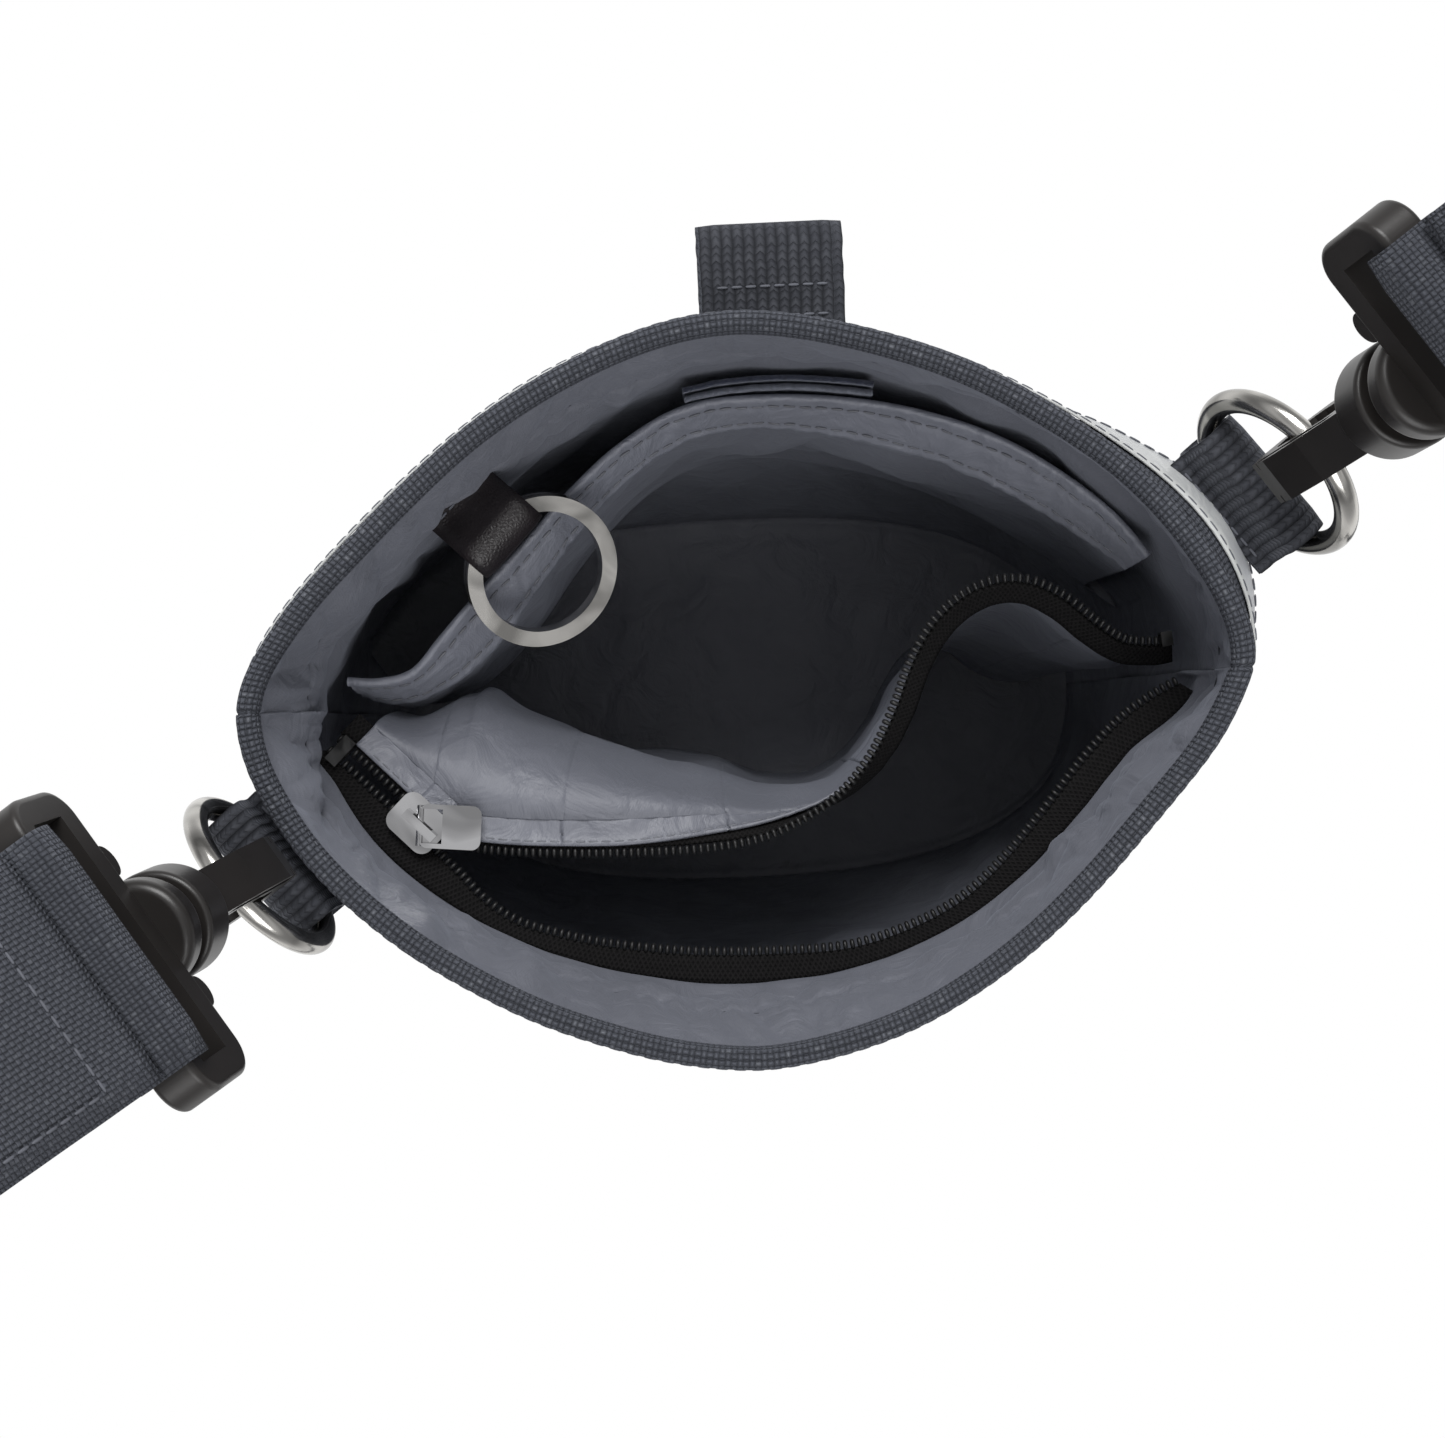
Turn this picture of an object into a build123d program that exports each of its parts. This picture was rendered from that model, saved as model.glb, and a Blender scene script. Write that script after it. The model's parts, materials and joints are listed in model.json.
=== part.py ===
from build123d import *
import math
import os

os.makedirs("parts", exist_ok=True)

# ---------------------------------------------------------------- driving sizes, mm
H = 160.0            # floor to top of rim
RIM_A, RIM_B = 84.5, 62.0   # half length and half depth of the open mouth
CLOTH = 1.1          # outer fabric with its backing
LINING = 0.8         # coated nylon
GAP = 0.3            # between sewn layers
SEAM_T = 0.012       # half angle of the side seam gap, rad
WEB_TAB = 24.0       # tab webbing width
WEB_TAB_T = 1.3      # tab webbing thickness
STRAP_W = 38.0       # shoulder strap webbing width
STRAP_T = 1.8        # and thickness
RING_R = 14.5        # O-ring wire circle
RING_W = 2.0         # O-ring wire radius
FIT = 0.3            # running clearance between moving pieces

# body sections: height, half length, half depth, superellipse power
SECTIONS = [
    (0.0, 74.0, 40.0, 2.6),
    (7.0, 79.0, 45.0, 2.5),
    (40.0, 84.0, 52.0, 2.3),
    (90.0, 87.0, 59.0, 2.1),
    (H - 30.0, 87.0, 62.5, 1.9),
    (H - 10.0, 85.5, 62.3, 1.76),
    (H, RIM_A, RIM_B, 1.7),
]
# where the right-hand tab pulls the wall out
PULL_T, PULL_SPREAD, PULL_OUT = math.radians(24), math.radians(17), 6.0
# where the mouth is pressed flatter: angle, spread, depth
FLATS = ((math.radians(143), math.radians(27), 5.2), (math.radians(328), math.radians(28), 6.2))


def section(z):
    s = SECTIONS
    if z <= s[0][0]:
        return s[0][1:]
    for i in range(len(s) - 1):
        if z <= s[i + 1][0]:
            f = (z - s[i][0]) / (s[i + 1][0] - s[i][0])
            return tuple(s[i][k] + f * (s[i + 1][k] - s[i][k]) for k in (1, 2, 3))
    return s[-1][1:]


def pull_out(t, z):
    d = (t - PULL_T + math.pi) % (2 * math.pi) - math.pi
    up = min(1.0, max(0.0, (H - 3 - z) / 14.0)) * min(1.0, max(0.0, (z - 10) / 70.0))
    return PULL_OUT * math.exp(-((d / PULL_SPREAD) ** 2)) * up


def flat_in(t, z):
    up = min(1.0, max(0.0, (z - 10) / 80.0))
    total = 0.0
    for mid, spread, depth in FLATS:
        d = (t - mid + math.pi) % (2 * math.pi) - math.pi
        total += depth * math.exp(-((d / spread) ** 2))
    return total * up


def raw(t, z, pulled):
    a, b, n = section(z)
    c, s = math.cos(t), math.sin(t)
    x = a * math.copysign(abs(c) ** (2 / n), c)
    y = b * math.copysign(abs(s) ** (2 / n), s)
    return x, y


def wall_point(t, z, off, pulled=True):
    """Point on the body wall at angle t, moved out by off."""
    e = 0.004
    x, y = raw(t, z, pulled)
    x0, y0 = raw(t - e, z, pulled)
    x1, y1 = raw(t + e, z, pulled)
    dx, dy = x1 - x0, y1 - y0
    m = math.hypot(dx, dy)
    nx, ny = dy / m, -dx / m
    d = off - flat_in(t, z) + (pull_out(t, z) if pulled else 0.0)
    return x + nx * d, y + ny * d


def band(t0, t1, levels, pulled=True, n=13):
    """Strip of wall from angle t0 to t1. levels: (z, outer offset, inner offset), offsets may vary with t."""
    ts = [t0 + (t1 - t0) * k / (n - 1) for k in range(n)]
    at = lambda o, t: o(t) if callable(o) else o
    wires = []
    for z, o, i in levels:
        out = [Vector(*wall_point(t, z, at(o, t), pulled), z) for t in ts]
        inn = [Vector(*wall_point(t, z, at(i, t), pulled), z) for t in ts]
        e1 = Edge.make_spline(out)
        e2 = Edge.make_line(out[-1], inn[-1])
        e3 = Edge.make_spline(inn[::-1])
        e4 = Edge.make_line(inn[0], out[0])
        wires.append(Wire([e1, e2, e3, e4]))
    return Solid.make_loft(wires, ruled=True)


def disc(z0, z1, off, pulled=False, n=28):
    """Plate that fills the section at z0, thickness z1 - z0."""
    pts = [Vector(*wall_point(2 * math.pi * k / n, z0, off, pulled), z0) for k in range(n)]
    e = Edge.make_spline(pts, periodic=True)
    return extrude(Face(Wire([e])), z1 - z0, dir=(0, 0, 1))


BACK = (SEAM_T, math.pi - SEAM_T)
FRONT = (math.pi + SEAM_T, 2 * math.pi - SEAM_T)
PARTS = {}

# ---------------------------------------------------------------- outer shell
TOP_Z = (H - 34.0, H - 24.0, H - 18.0, H - 14.0, H - 10.0, H - 5.6)
SHELL_Z = (2.2, 7.0, 40.0, 90.0) + TOP_Z
shell_levels = [(z, 0.0, -CLOTH) for z in SHELL_Z]
PARTS["outer_front"] = band(*FRONT, shell_levels, n=17)
PARTS["outer_back"] = band(*BACK, shell_levels, n=17)
BASE_T = 2.0
PARTS["base_panel"] = disc(0.0, BASE_T, 0.0)
BOARD_T = 1.6
PARTS["base_board"] = disc(BASE_T + 0.2, BASE_T + 0.2 + BOARD_T, -CLOTH - 0.6)
# side seams bound inside with a narrow tape
seam_levels = [(z, -CLOTH - 0.5, -CLOTH - 1.1) for z in (6.0, 40.0, 90.0, H - 26.0)]
PARTS["seam_tape_left"] = band(math.pi - 0.05, math.pi + 0.05, seam_levels, pulled=False, n=5)
PARTS["seam_tape_right"] = band(-0.05, 0.05, seam_levels, pulled=False, n=5)

# rim binding, folded over the top edge
BIND_IN = -3.4
BIND_Z = TOP_Z[-1] + GAP
bind = [(BIND_Z, 0.9, BIND_IN), (H - 2.4, 0.95, BIND_IN), (H - 0.8, 0.6, BIND_IN + 0.4), (H, -0.5, BIND_IN + 1.4)]
PARTS["rim_binding_front"] = band(*FRONT, bind, pulled=False, n=17)
PARTS["rim_binding_back"] = band(*BACK, bind, pulled=False, n=17)

# sprung steel band hidden in the rim channel
STIFF_T = 0.5
stiff = [(z, -CLOTH - GAP, -CLOTH - GAP - STIFF_T) for z in (H - 22.0, H - 14.0, BIND_Z - 0.5)]
PARTS["rim_spring_front"] = band(FRONT[0] + 0.1, FRONT[1] - 0.1, stiff, pulled=False)
PARTS["rim_spring_back"] = band(BACK[0] + 0.1, BACK[1] - 0.1, stiff, pulled=False)

# facing that slopes in from the rim to its stitched hem: how far in the hem stands at angle t
HEM_Z = H - 30.5
HEM_OFF = -8.6
HEM_NEAR = -2.8
FACE_OFF = -CLOTH - 2 * GAP - STIFF_T


def ease(f):
    f = min(1.0, max(0.0, f))
    return f * f * (3 - 2 * f)


def hem_off(t):
    t = math.degrees(t) % 360
    if t < 180:
        return HEM_NEAR + (HEM_OFF - 1.0 - HEM_NEAR) * ease((t - 88) / 36)
    return HEM_OFF - ease((200 - t) / 20) + (HEM_NEAR - HEM_OFF) * ease((t - 336) / 22)


def part_way(f, more=0.0):
    """Offset that is a share of the way from the rim to the hem."""
    return lambda t: FACE_OFF + f * (hem_off(t) - FACE_OFF) + more


def two(f, more=0.0):
    return part_way(f, more), part_way(f, more - LINING)


facing = [(TOP_Z[-1], *two(0.0)), (H - 14.0, *two(0.38)), (H - 23.0, *two(0.78)), (HEM_Z, *two(1.0))]
PARTS["facing_front"] = band(*FRONT, facing, pulled=False, n=21)
PARTS["facing_back"] = band(*BACK, facing, pulled=False, n=21)

# lining bag that hangs from the hem; at the front it runs in to the zip tape
ZIP_Z = H - 35.0


def zip_off(t):
    """Lining offset at the height of the zip."""
    t = math.degrees(t) % 360
    return HEM_OFF - 0.9 + 3.2 * ease((198 - t) / 14) + 5.6 * ease((t - 338) / 20)


def zip_in(t):
    return zip_off(t) - LINING


LIN_BOT = BASE_T + BOARD_T + 0.6
low = [(70.0, -4.0, -4.0 - LINING), (30.0, -3.2, -3.2 - LINING), (LIN_BOT + LINING + 0.2, -3.2, -3.2 - LINING)]
lin_back = [(HEM_Z - 0.4, *two(1.0)), (HEM_Z - 24.5, *two(0.5, -1.0))] + low
lin_front = [(HEM_Z - 0.4, *two(1.0)), (ZIP_Z + 1.0, zip_off, zip_in), (ZIP_Z - 2.0, zip_off, zip_in), (HEM_Z - 24.5, *two(0.6, -0.6))] + low
PARTS["lining_front"] = band(*FRONT, lin_front, pulled=False, n=21)
PARTS["lining_back"] = band(*BACK, lin_back, pulled=False, n=21)
PARTS["lining_floor"] = disc(LIN_BOT, LIN_BOT + LINING, -3.2)

# light strip across the back, under the rim
strip = [(z, 0.85, 0.3) for z in (TOP_Z[2], TOP_Z[3], TOP_Z[4], H - 6.6)]
PARTS["reflective_strip"] = band(BACK[0] + 0.05, BACK[1] - 0.05, strip, n=17)


# ---------------------------------------------------------------- strips that follow a plan curve
def offset_curve(points, d):
    out = []
    for i, (x, y) in enumerate(points):
        x0, y0 = points[max(0, i - 1)]
        x1, y1 = points[min(len(points) - 1, i + 1)]
        m = math.hypot(x1 - x0, y1 - y0)
        out.append((x - (y1 - y0) / m * d, y + (x1 - x0) / m * d))
    return out


def ribbon(points, d0, d1, z0, z1):
    """Flat strip between two offsets of a plan curve (positive is to the left)."""
    a = [Vector(x, y, z0) for x, y in offset_curve(points, d0)]
    b = [Vector(x, y, z0) for x, y in offset_curve(points, d1)]
    w = Wire([Edge.make_spline(a), Edge.make_line(a[-1], b[-1]), Edge.make_spline(b[::-1]), Edge.make_line(b[0], a[0])])
    return extrude(Face(w), z1 - z0, dir=(0, 0, 1))


def folded(rows):
    """Closed ribbon through rows of four corners."""
    faces = []

    def tri(a, b, c):
        faces.append(Face(Wire([Edge.make_line(a, b), Edge.make_line(b, c), Edge.make_line(c, a)])))

    for r0, r1 in zip(rows, rows[1:]):
        for i in range(4):
            j = (i + 1) % 4
            if i == 2:
                # same diagonal as the face opposite, so that layers nest
                tri(r0[i], r0[j], r1[i])
                tri(r0[j], r1[j], r1[i])
            else:
                tri(r0[i], r0[j], r1[j])
                tri(r0[i], r1[j], r1[i])
    for r in (rows[0], rows[-1]):
        tri(r[0], r[1], r[2])
        tri(r[0], r[2], r[3])
    return Solid(Shell(faces))


def spread(points, n):
    """Even samples of a smooth plan curve, each with its left-hand normal."""
    e = Edge.make_spline([Vector(x, y, 0) for x, y in points])
    out = []
    for k in range(n + 1):
        p, d = e @ (k / n), e % (k / n)
        out.append(((p.X, p.Y), (-d.Y, d.X)))
    return out


# ---------------------------------------------------------------- zip pocket at the front
CHAIN0, CHAIN1 = (-74.0, -5.4), (-56.4, -23.4)
cd = math.hypot(CHAIN1[0] - CHAIN0[0], CHAIN1[1] - CHAIN0[1])
CHAIN_D = ((CHAIN1[0] - CHAIN0[0]) / cd, (CHAIN1[1] - CHAIN0[1]) / cd)
CHAIN_ANG = math.degrees(math.atan2(CHAIN_D[1], CHAIN_D[0]))


def chain(s):
    return (CHAIN0[0] + CHAIN_D[0] * s, CHAIN0[1] + CHAIN_D[1] * s)


JOINED = [chain(0), chain(7), chain(14), chain(20), chain(cd)]
REAR_EDGE = JOINED + [(-51.5, -26.2), (-44, -27.6), (-34, -28.4), (-21, -28.9), (-9, -28.8), (1, -27.6), (9.5, -24.4), (17, -19.6), (23, -12.6), (27.5, -4), (31, 4.2), (36, 11.4), (43, 16), (50.5, 16.6), (57, 13.4), (62.5, 8.6), (67.5, 5.2), (73, 4.4), (76.5, 4.8)]
FRONT_EDGE = JOINED + [(-51.4, -28.8), (-47.2, -33.6), (-42, -37.4), (-35.4, -39.8), (-26, -42.2), (-12, -44.2), (2, -44.8), (16, -44.4), (27.5, -41.2), (36.2, -36.8), (43.6, -30.4), (50.4, -23), (58, -14), (65, -7), (71.5, -2.6), (76.5, -0.2)]
COIL_IN, COIL_W, COIL_H = 0.5, 1.7, 2.2
TAPE_W, TAPE_T = 4.6, 0.7
tape_in = COIL_IN + COIL_W + 0.1
PARTS["zip_coil_rear"] = ribbon(REAR_EDGE, COIL_IN, COIL_IN + COIL_W, ZIP_Z - COIL_H / 2, ZIP_Z + COIL_H / 2)
PARTS["zip_coil_front"] = ribbon(FRONT_EDGE, -COIL_IN - COIL_W, -COIL_IN, ZIP_Z - COIL_H / 2, ZIP_Z + COIL_H / 2)


def wall_angle(x, y, z):
    """Angle of the wall point nearest to (x, y)."""
    return min((math.hypot(wall_point(t, z, 0.0, False)[0] - x, wall_point(t, z, 0.0, False)[1] - y), t) for t in [2 * math.pi * k / 720 for k in range(720)])[1]


# front tape: flat, from the coil out to the lining it is sewn to
tape_a = offset_curve(FRONT_EDGE, -tape_in)
tape_b = []
for x, y in tape_a:
    t = wall_angle(x, y, ZIP_Z)
    tape_b.append(wall_point(t, ZIP_Z, zip_in(t) - 0.15, False))
tz = ZIP_Z - TAPE_T / 2
ta, tb = [Vector(x, y, tz) for x, y in tape_a], [Vector(x, y, tz) for x, y in tape_b]
tw = Wire([Edge.make_spline(ta), Edge.make_line(ta[-1], tb[-1]), Edge.make_spline(tb[::-1]), Edge.make_line(tb[0], ta[0])])
PARTS["zip_tape_front"] = extrude(Face(tw), TAPE_T, dir=(0, 0, 1))

# rear tape: lies behind the coil where the zip is shut, hangs down and forward from it where it stands open
ZN = 96
rear = spread(REAR_EDGE, ZN)


def turn(f):
    """Direction of the tape from its coil, degrees: 0 is flat to the rear, -90 is straight down."""
    return -4.0 - 128.0 * ease((f - 0.30) / 0.36)


def tape_frame(k):
    (x, y), (nx, ny) = rear[k]
    a = math.radians(turn(k / ZN))
    ca, sa = math.cos(a), math.sin(a)
    cx = COIL_IN + COIL_W / 2
    centre = Vector(x + nx * cx, y + ny * cx, ZIP_Z)
    along = Vector(nx * ca, ny * ca, sa)
    face = Vector(-nx * sa, -ny * sa, ca)
    start = COIL_W / 2 * abs(ca) + COIL_H / 2 * abs(sa) + 0.12
    return centre, along, face, start


def layer(k0, k1, from_d, to_d, lift, thick):
    rows = []
    for k in range(k0, k1 + 1):
        c, a, f, s = tape_frame(k)
        p, q = c + a * (s + from_d) + f * lift, c + a * (s + to_d) + f * lift
        rows.append([p - f * (thick / 2), q - f * (thick / 2), q + f * (thick / 2), p + f * (thick / 2)])
    return rows


PARTS["zip_tape_rear"] = folded(layer(0, ZN, 0.0, TAPE_W, 0.0, TAPE_T))
# cloth of the pocket front, stitched along the outside of the tape
HEM_LIFT = TAPE_T / 2 + 0.1 + LINING / 2
PARTS["zip_panel_hem"] = folded(layer(2, ZN, 2.0, TAPE_W + 0.5, HEM_LIFT, LINING))
# the panel hangs from it down to the floor, further back at the left than at the right
PANEL_Z = 9.0
FOOT_IN = 0.9


def panel_rows(k0, k1):
    rows = []
    for k in range(k0, k1 + 1):
        c, a, f, s = tape_frame(k)
        (x, y), (nx, ny) = rear[k]
        top = c + a * (s + TAPE_W + 0.65 + LINING / 2) + f * HEM_LIFT
        sway = (11.0 - 15.0 * ease((k / ZN - 0.30) / 0.45)) * ease(k / ZN / 0.12) * ease((1 - k / ZN) / 0.1)
        bx, by = (top.X + nx * sway) * FOOT_IN, top.Y + ny * sway
        w = LINING / 2
        rows.append([Vector(top.X - nx * w, top.Y - ny * w, top.Z), Vector(bx - nx * w, by - ny * w, PANEL_Z), Vector(bx + nx * w, by + ny * w, PANEL_Z), Vector(top.X + nx * w, top.Y + ny * w, top.Z)])
    return rows


PARTS["zip_pocket_panel"] = folded(panel_rows(2, ZN))

chain_at = lambda s, z: Location((*chain(s), z), (0, 0, CHAIN_ANG))
stop = Pos(0, 0, 0) * Box(2.4, 2 * (COIL_IN + COIL_W) + 1.2, COIL_H + 1.6) - Box(3, 2 * (COIL_IN + COIL_W) + 0.3, COIL_H + 0.3)
PARTS["zip_end_stop"] = chain_at(2.2, ZIP_Z) * stop


def end_clip(points, side):
    (x0, y0), (x1, y1) = points[-2], points[-1]
    ang = math.degrees(math.atan2(y1 - y0, x1 - x0))
    mid = ((x0 + 2 * x1) / 3, (y0 + 2 * y1) / 3)
    c = side * (COIL_IN + COIL_W / 2)
    block = Pos(0, c, 0) * (Box(2.0, COIL_W + 0.9, COIL_H + 0.9) - Box(3, COIL_W + 0.1, COIL_H + 0.1))
    return Location((*mid, ZIP_Z), (0, 0, ang)) * block


PARTS["zip_top_stop_rear"] = end_clip(REAR_EDGE, 1)

# slider: two plates joined by a thin web that runs between the coils
SL_S, SL_L, SL_W = 21.0, 10.0, 8.2
plate = 0.9
pz = COIL_H / 2 + FIT
sl = Pos(0, 0, pz + plate / 2) * Box(SL_L, SL_W, plate) + Pos(0, 0, -pz - plate / 2) * Box(SL_L, SL_W, plate)
sl = fillet(sl.edges().filter_by(Axis.Z), 2.2)
sl += Pos(SL_L / 2 - 2.2, 0, 0) * Box(2.4, 0.5, 2 * pz + 0.4)
lip_y = COIL_IN + COIL_W + FIT
for sy in (-1, 1):
    lip_w = SL_W / 2 - lip_y
    for sz in (-1, 1):
        sl += Pos(-0.4, sy * (lip_y + lip_w / 2), sz * (pz - 0.25)) * Box(SL_L - 4.6, lip_w, 0.6)
# bail for the pull
BAIL_X, BAIL_Z = 0.6, pz + plate + 0.85
bail = Pos(BAIL_X, 0, BAIL_Z + 0.05) * Box(7.0, 1.6, 2.2)
bail -= Pos(BAIL_X, 0, BAIL_Z) * Box(4.4, 3, 1.5)
sl += bail
PARTS["zip_slider"] = chain_at(SL_S, ZIP_Z) * sl
# pull: a round bar through the bail, a wide eye round the bail's leg, then a flat tab, turned aside from the zip
PULL_L, PULL_W, PULL_T1 = 11.0, 7.8, 1.0
EYE_L, EYE_W = 3.6, 6.1
PULL_YAW = 40.0
pull = Pos(PULL_L / 2, 0, 0) * Box(PULL_L, PULL_W, PULL_T1)
pull = fillet(pull.edges().filter_by(Axis.Z), 1.6)
pull -= Pos(0.5 + EYE_L / 2, 0, 0) * Box(EYE_L, EYE_W, 3)
pull -= Pos(0, 0, 0) * Box(0.5, 2 * PULL_W, 3)
pull += Rot(90, 0, 0) * Cylinder(PULL_T1 / 2, PULL_W - 0.6)
pull_loc = Location((*chain(SL_S + BAIL_X), ZIP_Z + BAIL_Z), (0, 0, CHAIN_ANG + PULL_YAW))
PARTS["zip_pull"] = pull_loc * pull

# ---------------------------------------------------------------- slip pocket at the back
# plan curves of the hem's top edge, and of the panel that hangs below it
HEM_CURVE = [(-71, 5.4), (-65, 5.0), (-59, 6.6), (-53.5, 12.6), (-46, 20.6), (-38, 28.4), (-30, 36.8), (-20, 45.2), (-8, 51.3), (7, 52.4), (24, 50.7), (38, 47.0), (49, 42.2), (59, 35.6), (67, 28.6), (73, 21)]
LOW_CURVE = [(-70, 3.4), (-63, 1.6), (-55, 3.8), (-47, 9.6), (-40, 17.6), (-33, 27), (-25, 36), (-16, 43.4), (-6, 48), (7, 48.8), (22, 46), (35, 42), (46, 37), (56, 31), (64, 25.4), (71, 19.6)]
SLIP_TOP = H - 36.0
SLIP_DEPTH = 66.0
SLIP_BAND = 11.0
SLIP_BOT = SLIP_TOP - SLIP_DEPTH
HEM_T = 1.6
SN = 72
hem_top, hem_low = spread(HEM_CURVE, SN), spread(LOW_CURVE, SN)


def hung(top, z0, low, z1, thick, k0=0, k1=SN):
    rows = []
    for k in range(k0, k1 + 1):
        (x0, y0), n0 = top[k]
        (x1, y1), n1 = low[k]
        w = thick / 2
        rows.append([Vector(x0 - n0[0] * w, y0 - n0[1] * w, z0), Vector(x1 - n1[0] * w, y1 - n1[1] * w, z1), Vector(x1 + n1[0] * w, y1 + n1[1] * w, z1), Vector(x0 + n0[0] * w, y0 + n0[1] * w, z0)])
    return folded(rows)


PARTS["slip_pocket_hem"] = hung(hem_top, SLIP_TOP, hem_low, SLIP_TOP - SLIP_BAND, HEM_T)
PARTS["slip_pocket_panel"] = hung(hem_low, SLIP_TOP - SLIP_BAND - 0.15, hem_low, SLIP_BOT + LINING + 0.2, LINING)
# its sewn floor, between the panel and the back lining
back_in = [Vector(*wall_point(math.pi - 0.24 - (math.pi - 0.50) * k / 12, SLIP_BOT, -5.3, False), SLIP_BOT) for k in range(13)]
hem_in = [Vector(x, y, SLIP_BOT) for x, y in LOW_CURVE]
wf = Wire([Edge.make_spline(hem_in), Edge.make_line(hem_in[-1], back_in[-1]), Edge.make_spline(back_in[::-1]), Edge.make_line(back_in[0], hem_in[0])])
PARTS["slip_pocket_floor"] = extrude(Face(wf), LINING, dir=(0, 0, 1))
# touch fastening in the middle of the hem, on the hem's back and on the lining
TOUCH = [(-8.5, 52.3), (-1, 53.5), (8, 53.8), (16, 53.2), (25, 51.9)]
PARTS["hook_tape"] = ribbon(TOUCH, -0.2, 1.1, SLIP_TOP - 9.0, SLIP_TOP + 1.2)
PARTS["loop_tape"] = ribbon(TOUCH, 1.4, 2.4, SLIP_TOP - 7.0, SLIP_TOP + 2.4)

# ---------------------------------------------------------------- webbing tabs
inside = band(-0.9, 1.5, [(z, 1.0, -30) for z in TOP_Z], pulled=True, n=15)
inside_l = band(math.pi, math.pi + 1.3, [(z, 1.0, -30) for z in TOP_Z], pulled=True, n=15)


def frame_at(p, az):
    """Local X outward at azimuth az, Y along the tab's width, Z up."""
    return Location(p, (0, 0, az))


def tab(width, reach, open_x, open_z, tail):
    """Folded webbing: an open fold round the ring, two layers sewn flat behind it."""
    t = WEB_TAB_T
    prof = Plane.XZ * Ellipse(open_x + t, open_z + t)
    body = extrude(prof, width / 2, both=True)
    neck = Plane.XZ * Polygon((0, open_z + t - 0.6), (-reach * 0.55, tail / 2 + 0.6), (-reach, tail / 2), (-reach, -tail / 2), (-reach * 0.55, -tail / 2 - 0.6), (0, -open_z - t + 0.6), align=None)
    body += extrude(neck, width / 2, both=True)
    hole = Plane.XZ * Ellipse(open_x, open_z)
    body -= extrude(hole, width, both=True)
    return body


# ring tabs: fold axis points and outward directions
LEFT_P, LEFT_AZ, LEFT_LEAN = (-80.7, -25.7, H - 15.0), 219.0, 9.0
RIGHT_P, RIGHT_AZ, RIGHT_LEAN = (86.7, 29.9, H - 15.0), 38.0, 17.0
OPEN_X, OPEN_Z = 4.7, 8.7
tl = frame_at(LEFT_P, LEFT_AZ) * tab(WEB_TAB, 15.0, OPEN_X, OPEN_Z, 2 * WEB_TAB_T + 0.2)
tr = frame_at(RIGHT_P, RIGHT_AZ) * tab(WEB_TAB, 18.0, OPEN_X, OPEN_Z, 2 * WEB_TAB_T + 0.2)
PARTS["ring_tab_left"] = tl - inside_l
PARTS["ring_tab_right"] = tr - inside
BACK_TAB_P = (7.2, 75.4, H - 12.5)
tb = frame_at(BACK_TAB_P, 90.0) * tab(24.6, 15.6, 2.2, 2.0, 2 * WEB_TAB_T + 0.2)
inside_b = band(1.0, 2.1, [(z, 1.0, -30) for z in TOP_Z], pulled=True, n=11)
PARTS["back_tab"] = tb - inside_b


# ---------------------------------------------------------------- O-rings
def ring_at(p, az, lean):
    """Ring whose wire passes through the fold at p, standing up with its top leaning out."""
    torus = Rot(0, 0, 0) * (Rot(0, 90, 0) * Torus(RING_R, RING_W))
    return Location(p, (0, 0, az)) * Rot(0, lean, 0) * Pos(0, 0, RING_R) * torus


SAG = 3.5   # the wire's lowest point in the fold, below its axis


def low_point(p, az, lean):
    l = math.radians(lean)
    return (p[0] - math.cos(math.radians(az)) * SAG * math.sin(l), p[1] - math.sin(math.radians(az)) * SAG * math.sin(l), p[2] - SAG * math.cos(l))


PARTS["ring_left"] = ring_at(low_point(LEFT_P, LEFT_AZ, LEFT_LEAN), LEFT_AZ, LEFT_LEAN)
PARTS["ring_right"] = ring_at(low_point(RIGHT_P, RIGHT_AZ, RIGHT_LEAN), RIGHT_AZ, RIGHT_LEAN)


def ring_top(p, az, lean):
    q = low_point(p, az, lean)
    l, a = math.radians(lean), math.radians(az)
    r = 2 * RING_R
    return (q[0] + math.cos(a) * r * math.sin(l), q[1] + math.sin(a) * r * math.sin(l), q[2] + r * math.cos(l))


# ---------------------------------------------------------------- swivel clips
HOOK_T = 7.6          # thickness across the claw
CAV = 5.2             # half width of the hook's eye
SEAT = 3.7            # eye floor below the ring wire's middle
STEM_R, HEAD_R = 3.0, 5.0
COLLAR_R = 8.6


def hook_body():
    """Claw in the local XZ plane: back on -X (towards the mouth), nose on +X."""
    outline = Plane.XZ * Polygon(
        (-7.6, 27.0), (-9.8, 14.0), (-10.4, 3.0), (-8.6, -4.6), (-4.6, -8.0), (0.5, -9.0), (5.2, -7.8),
        (8.8, -4.2), (9.7, 0.5), (9.6, 6.2), (8.2, 6.2), (8.2, 4.2), (5.6, 4.2), (CAV, 1.2), (CAV, 0.0), (4.2, -2.2),
        (1.8, -SEAT), (-1.8, -SEAT), (-4.2, -2.2), (-CAV, 0.0), (-CAV, 17.0), (-3.0, 19.6), (4.9, 19.6), (4.9, 21.9), (7.6, 21.9), (7.6, 27.0), align=None)
    claw = extrude(outline, HOOK_T / 2, both=True)
    # moulded recesses down both sides of the back
    for sy in (-1, 1):
        claw -= Pos(-7.6, sy * (HOOK_T / 2), 10) * Rot(0, 4, 0) * Box(2.0, 2.4, 24)
    collar = Pos(0, 0, 29.4) * Cylinder(COLLAR_R, 8.0)
    collar = fillet(collar.edges().filter_by(GeomType.CIRCLE), 0.9)
    claw += collar
    claw -= Pos(0, 0, 27.2) * Cylinder(HEAD_R + 0.35, 4.6)
    claw -= Pos(0, 0, 31.5) * Cylinder(STEM_R + 0.3, 6)
    return claw


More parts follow.
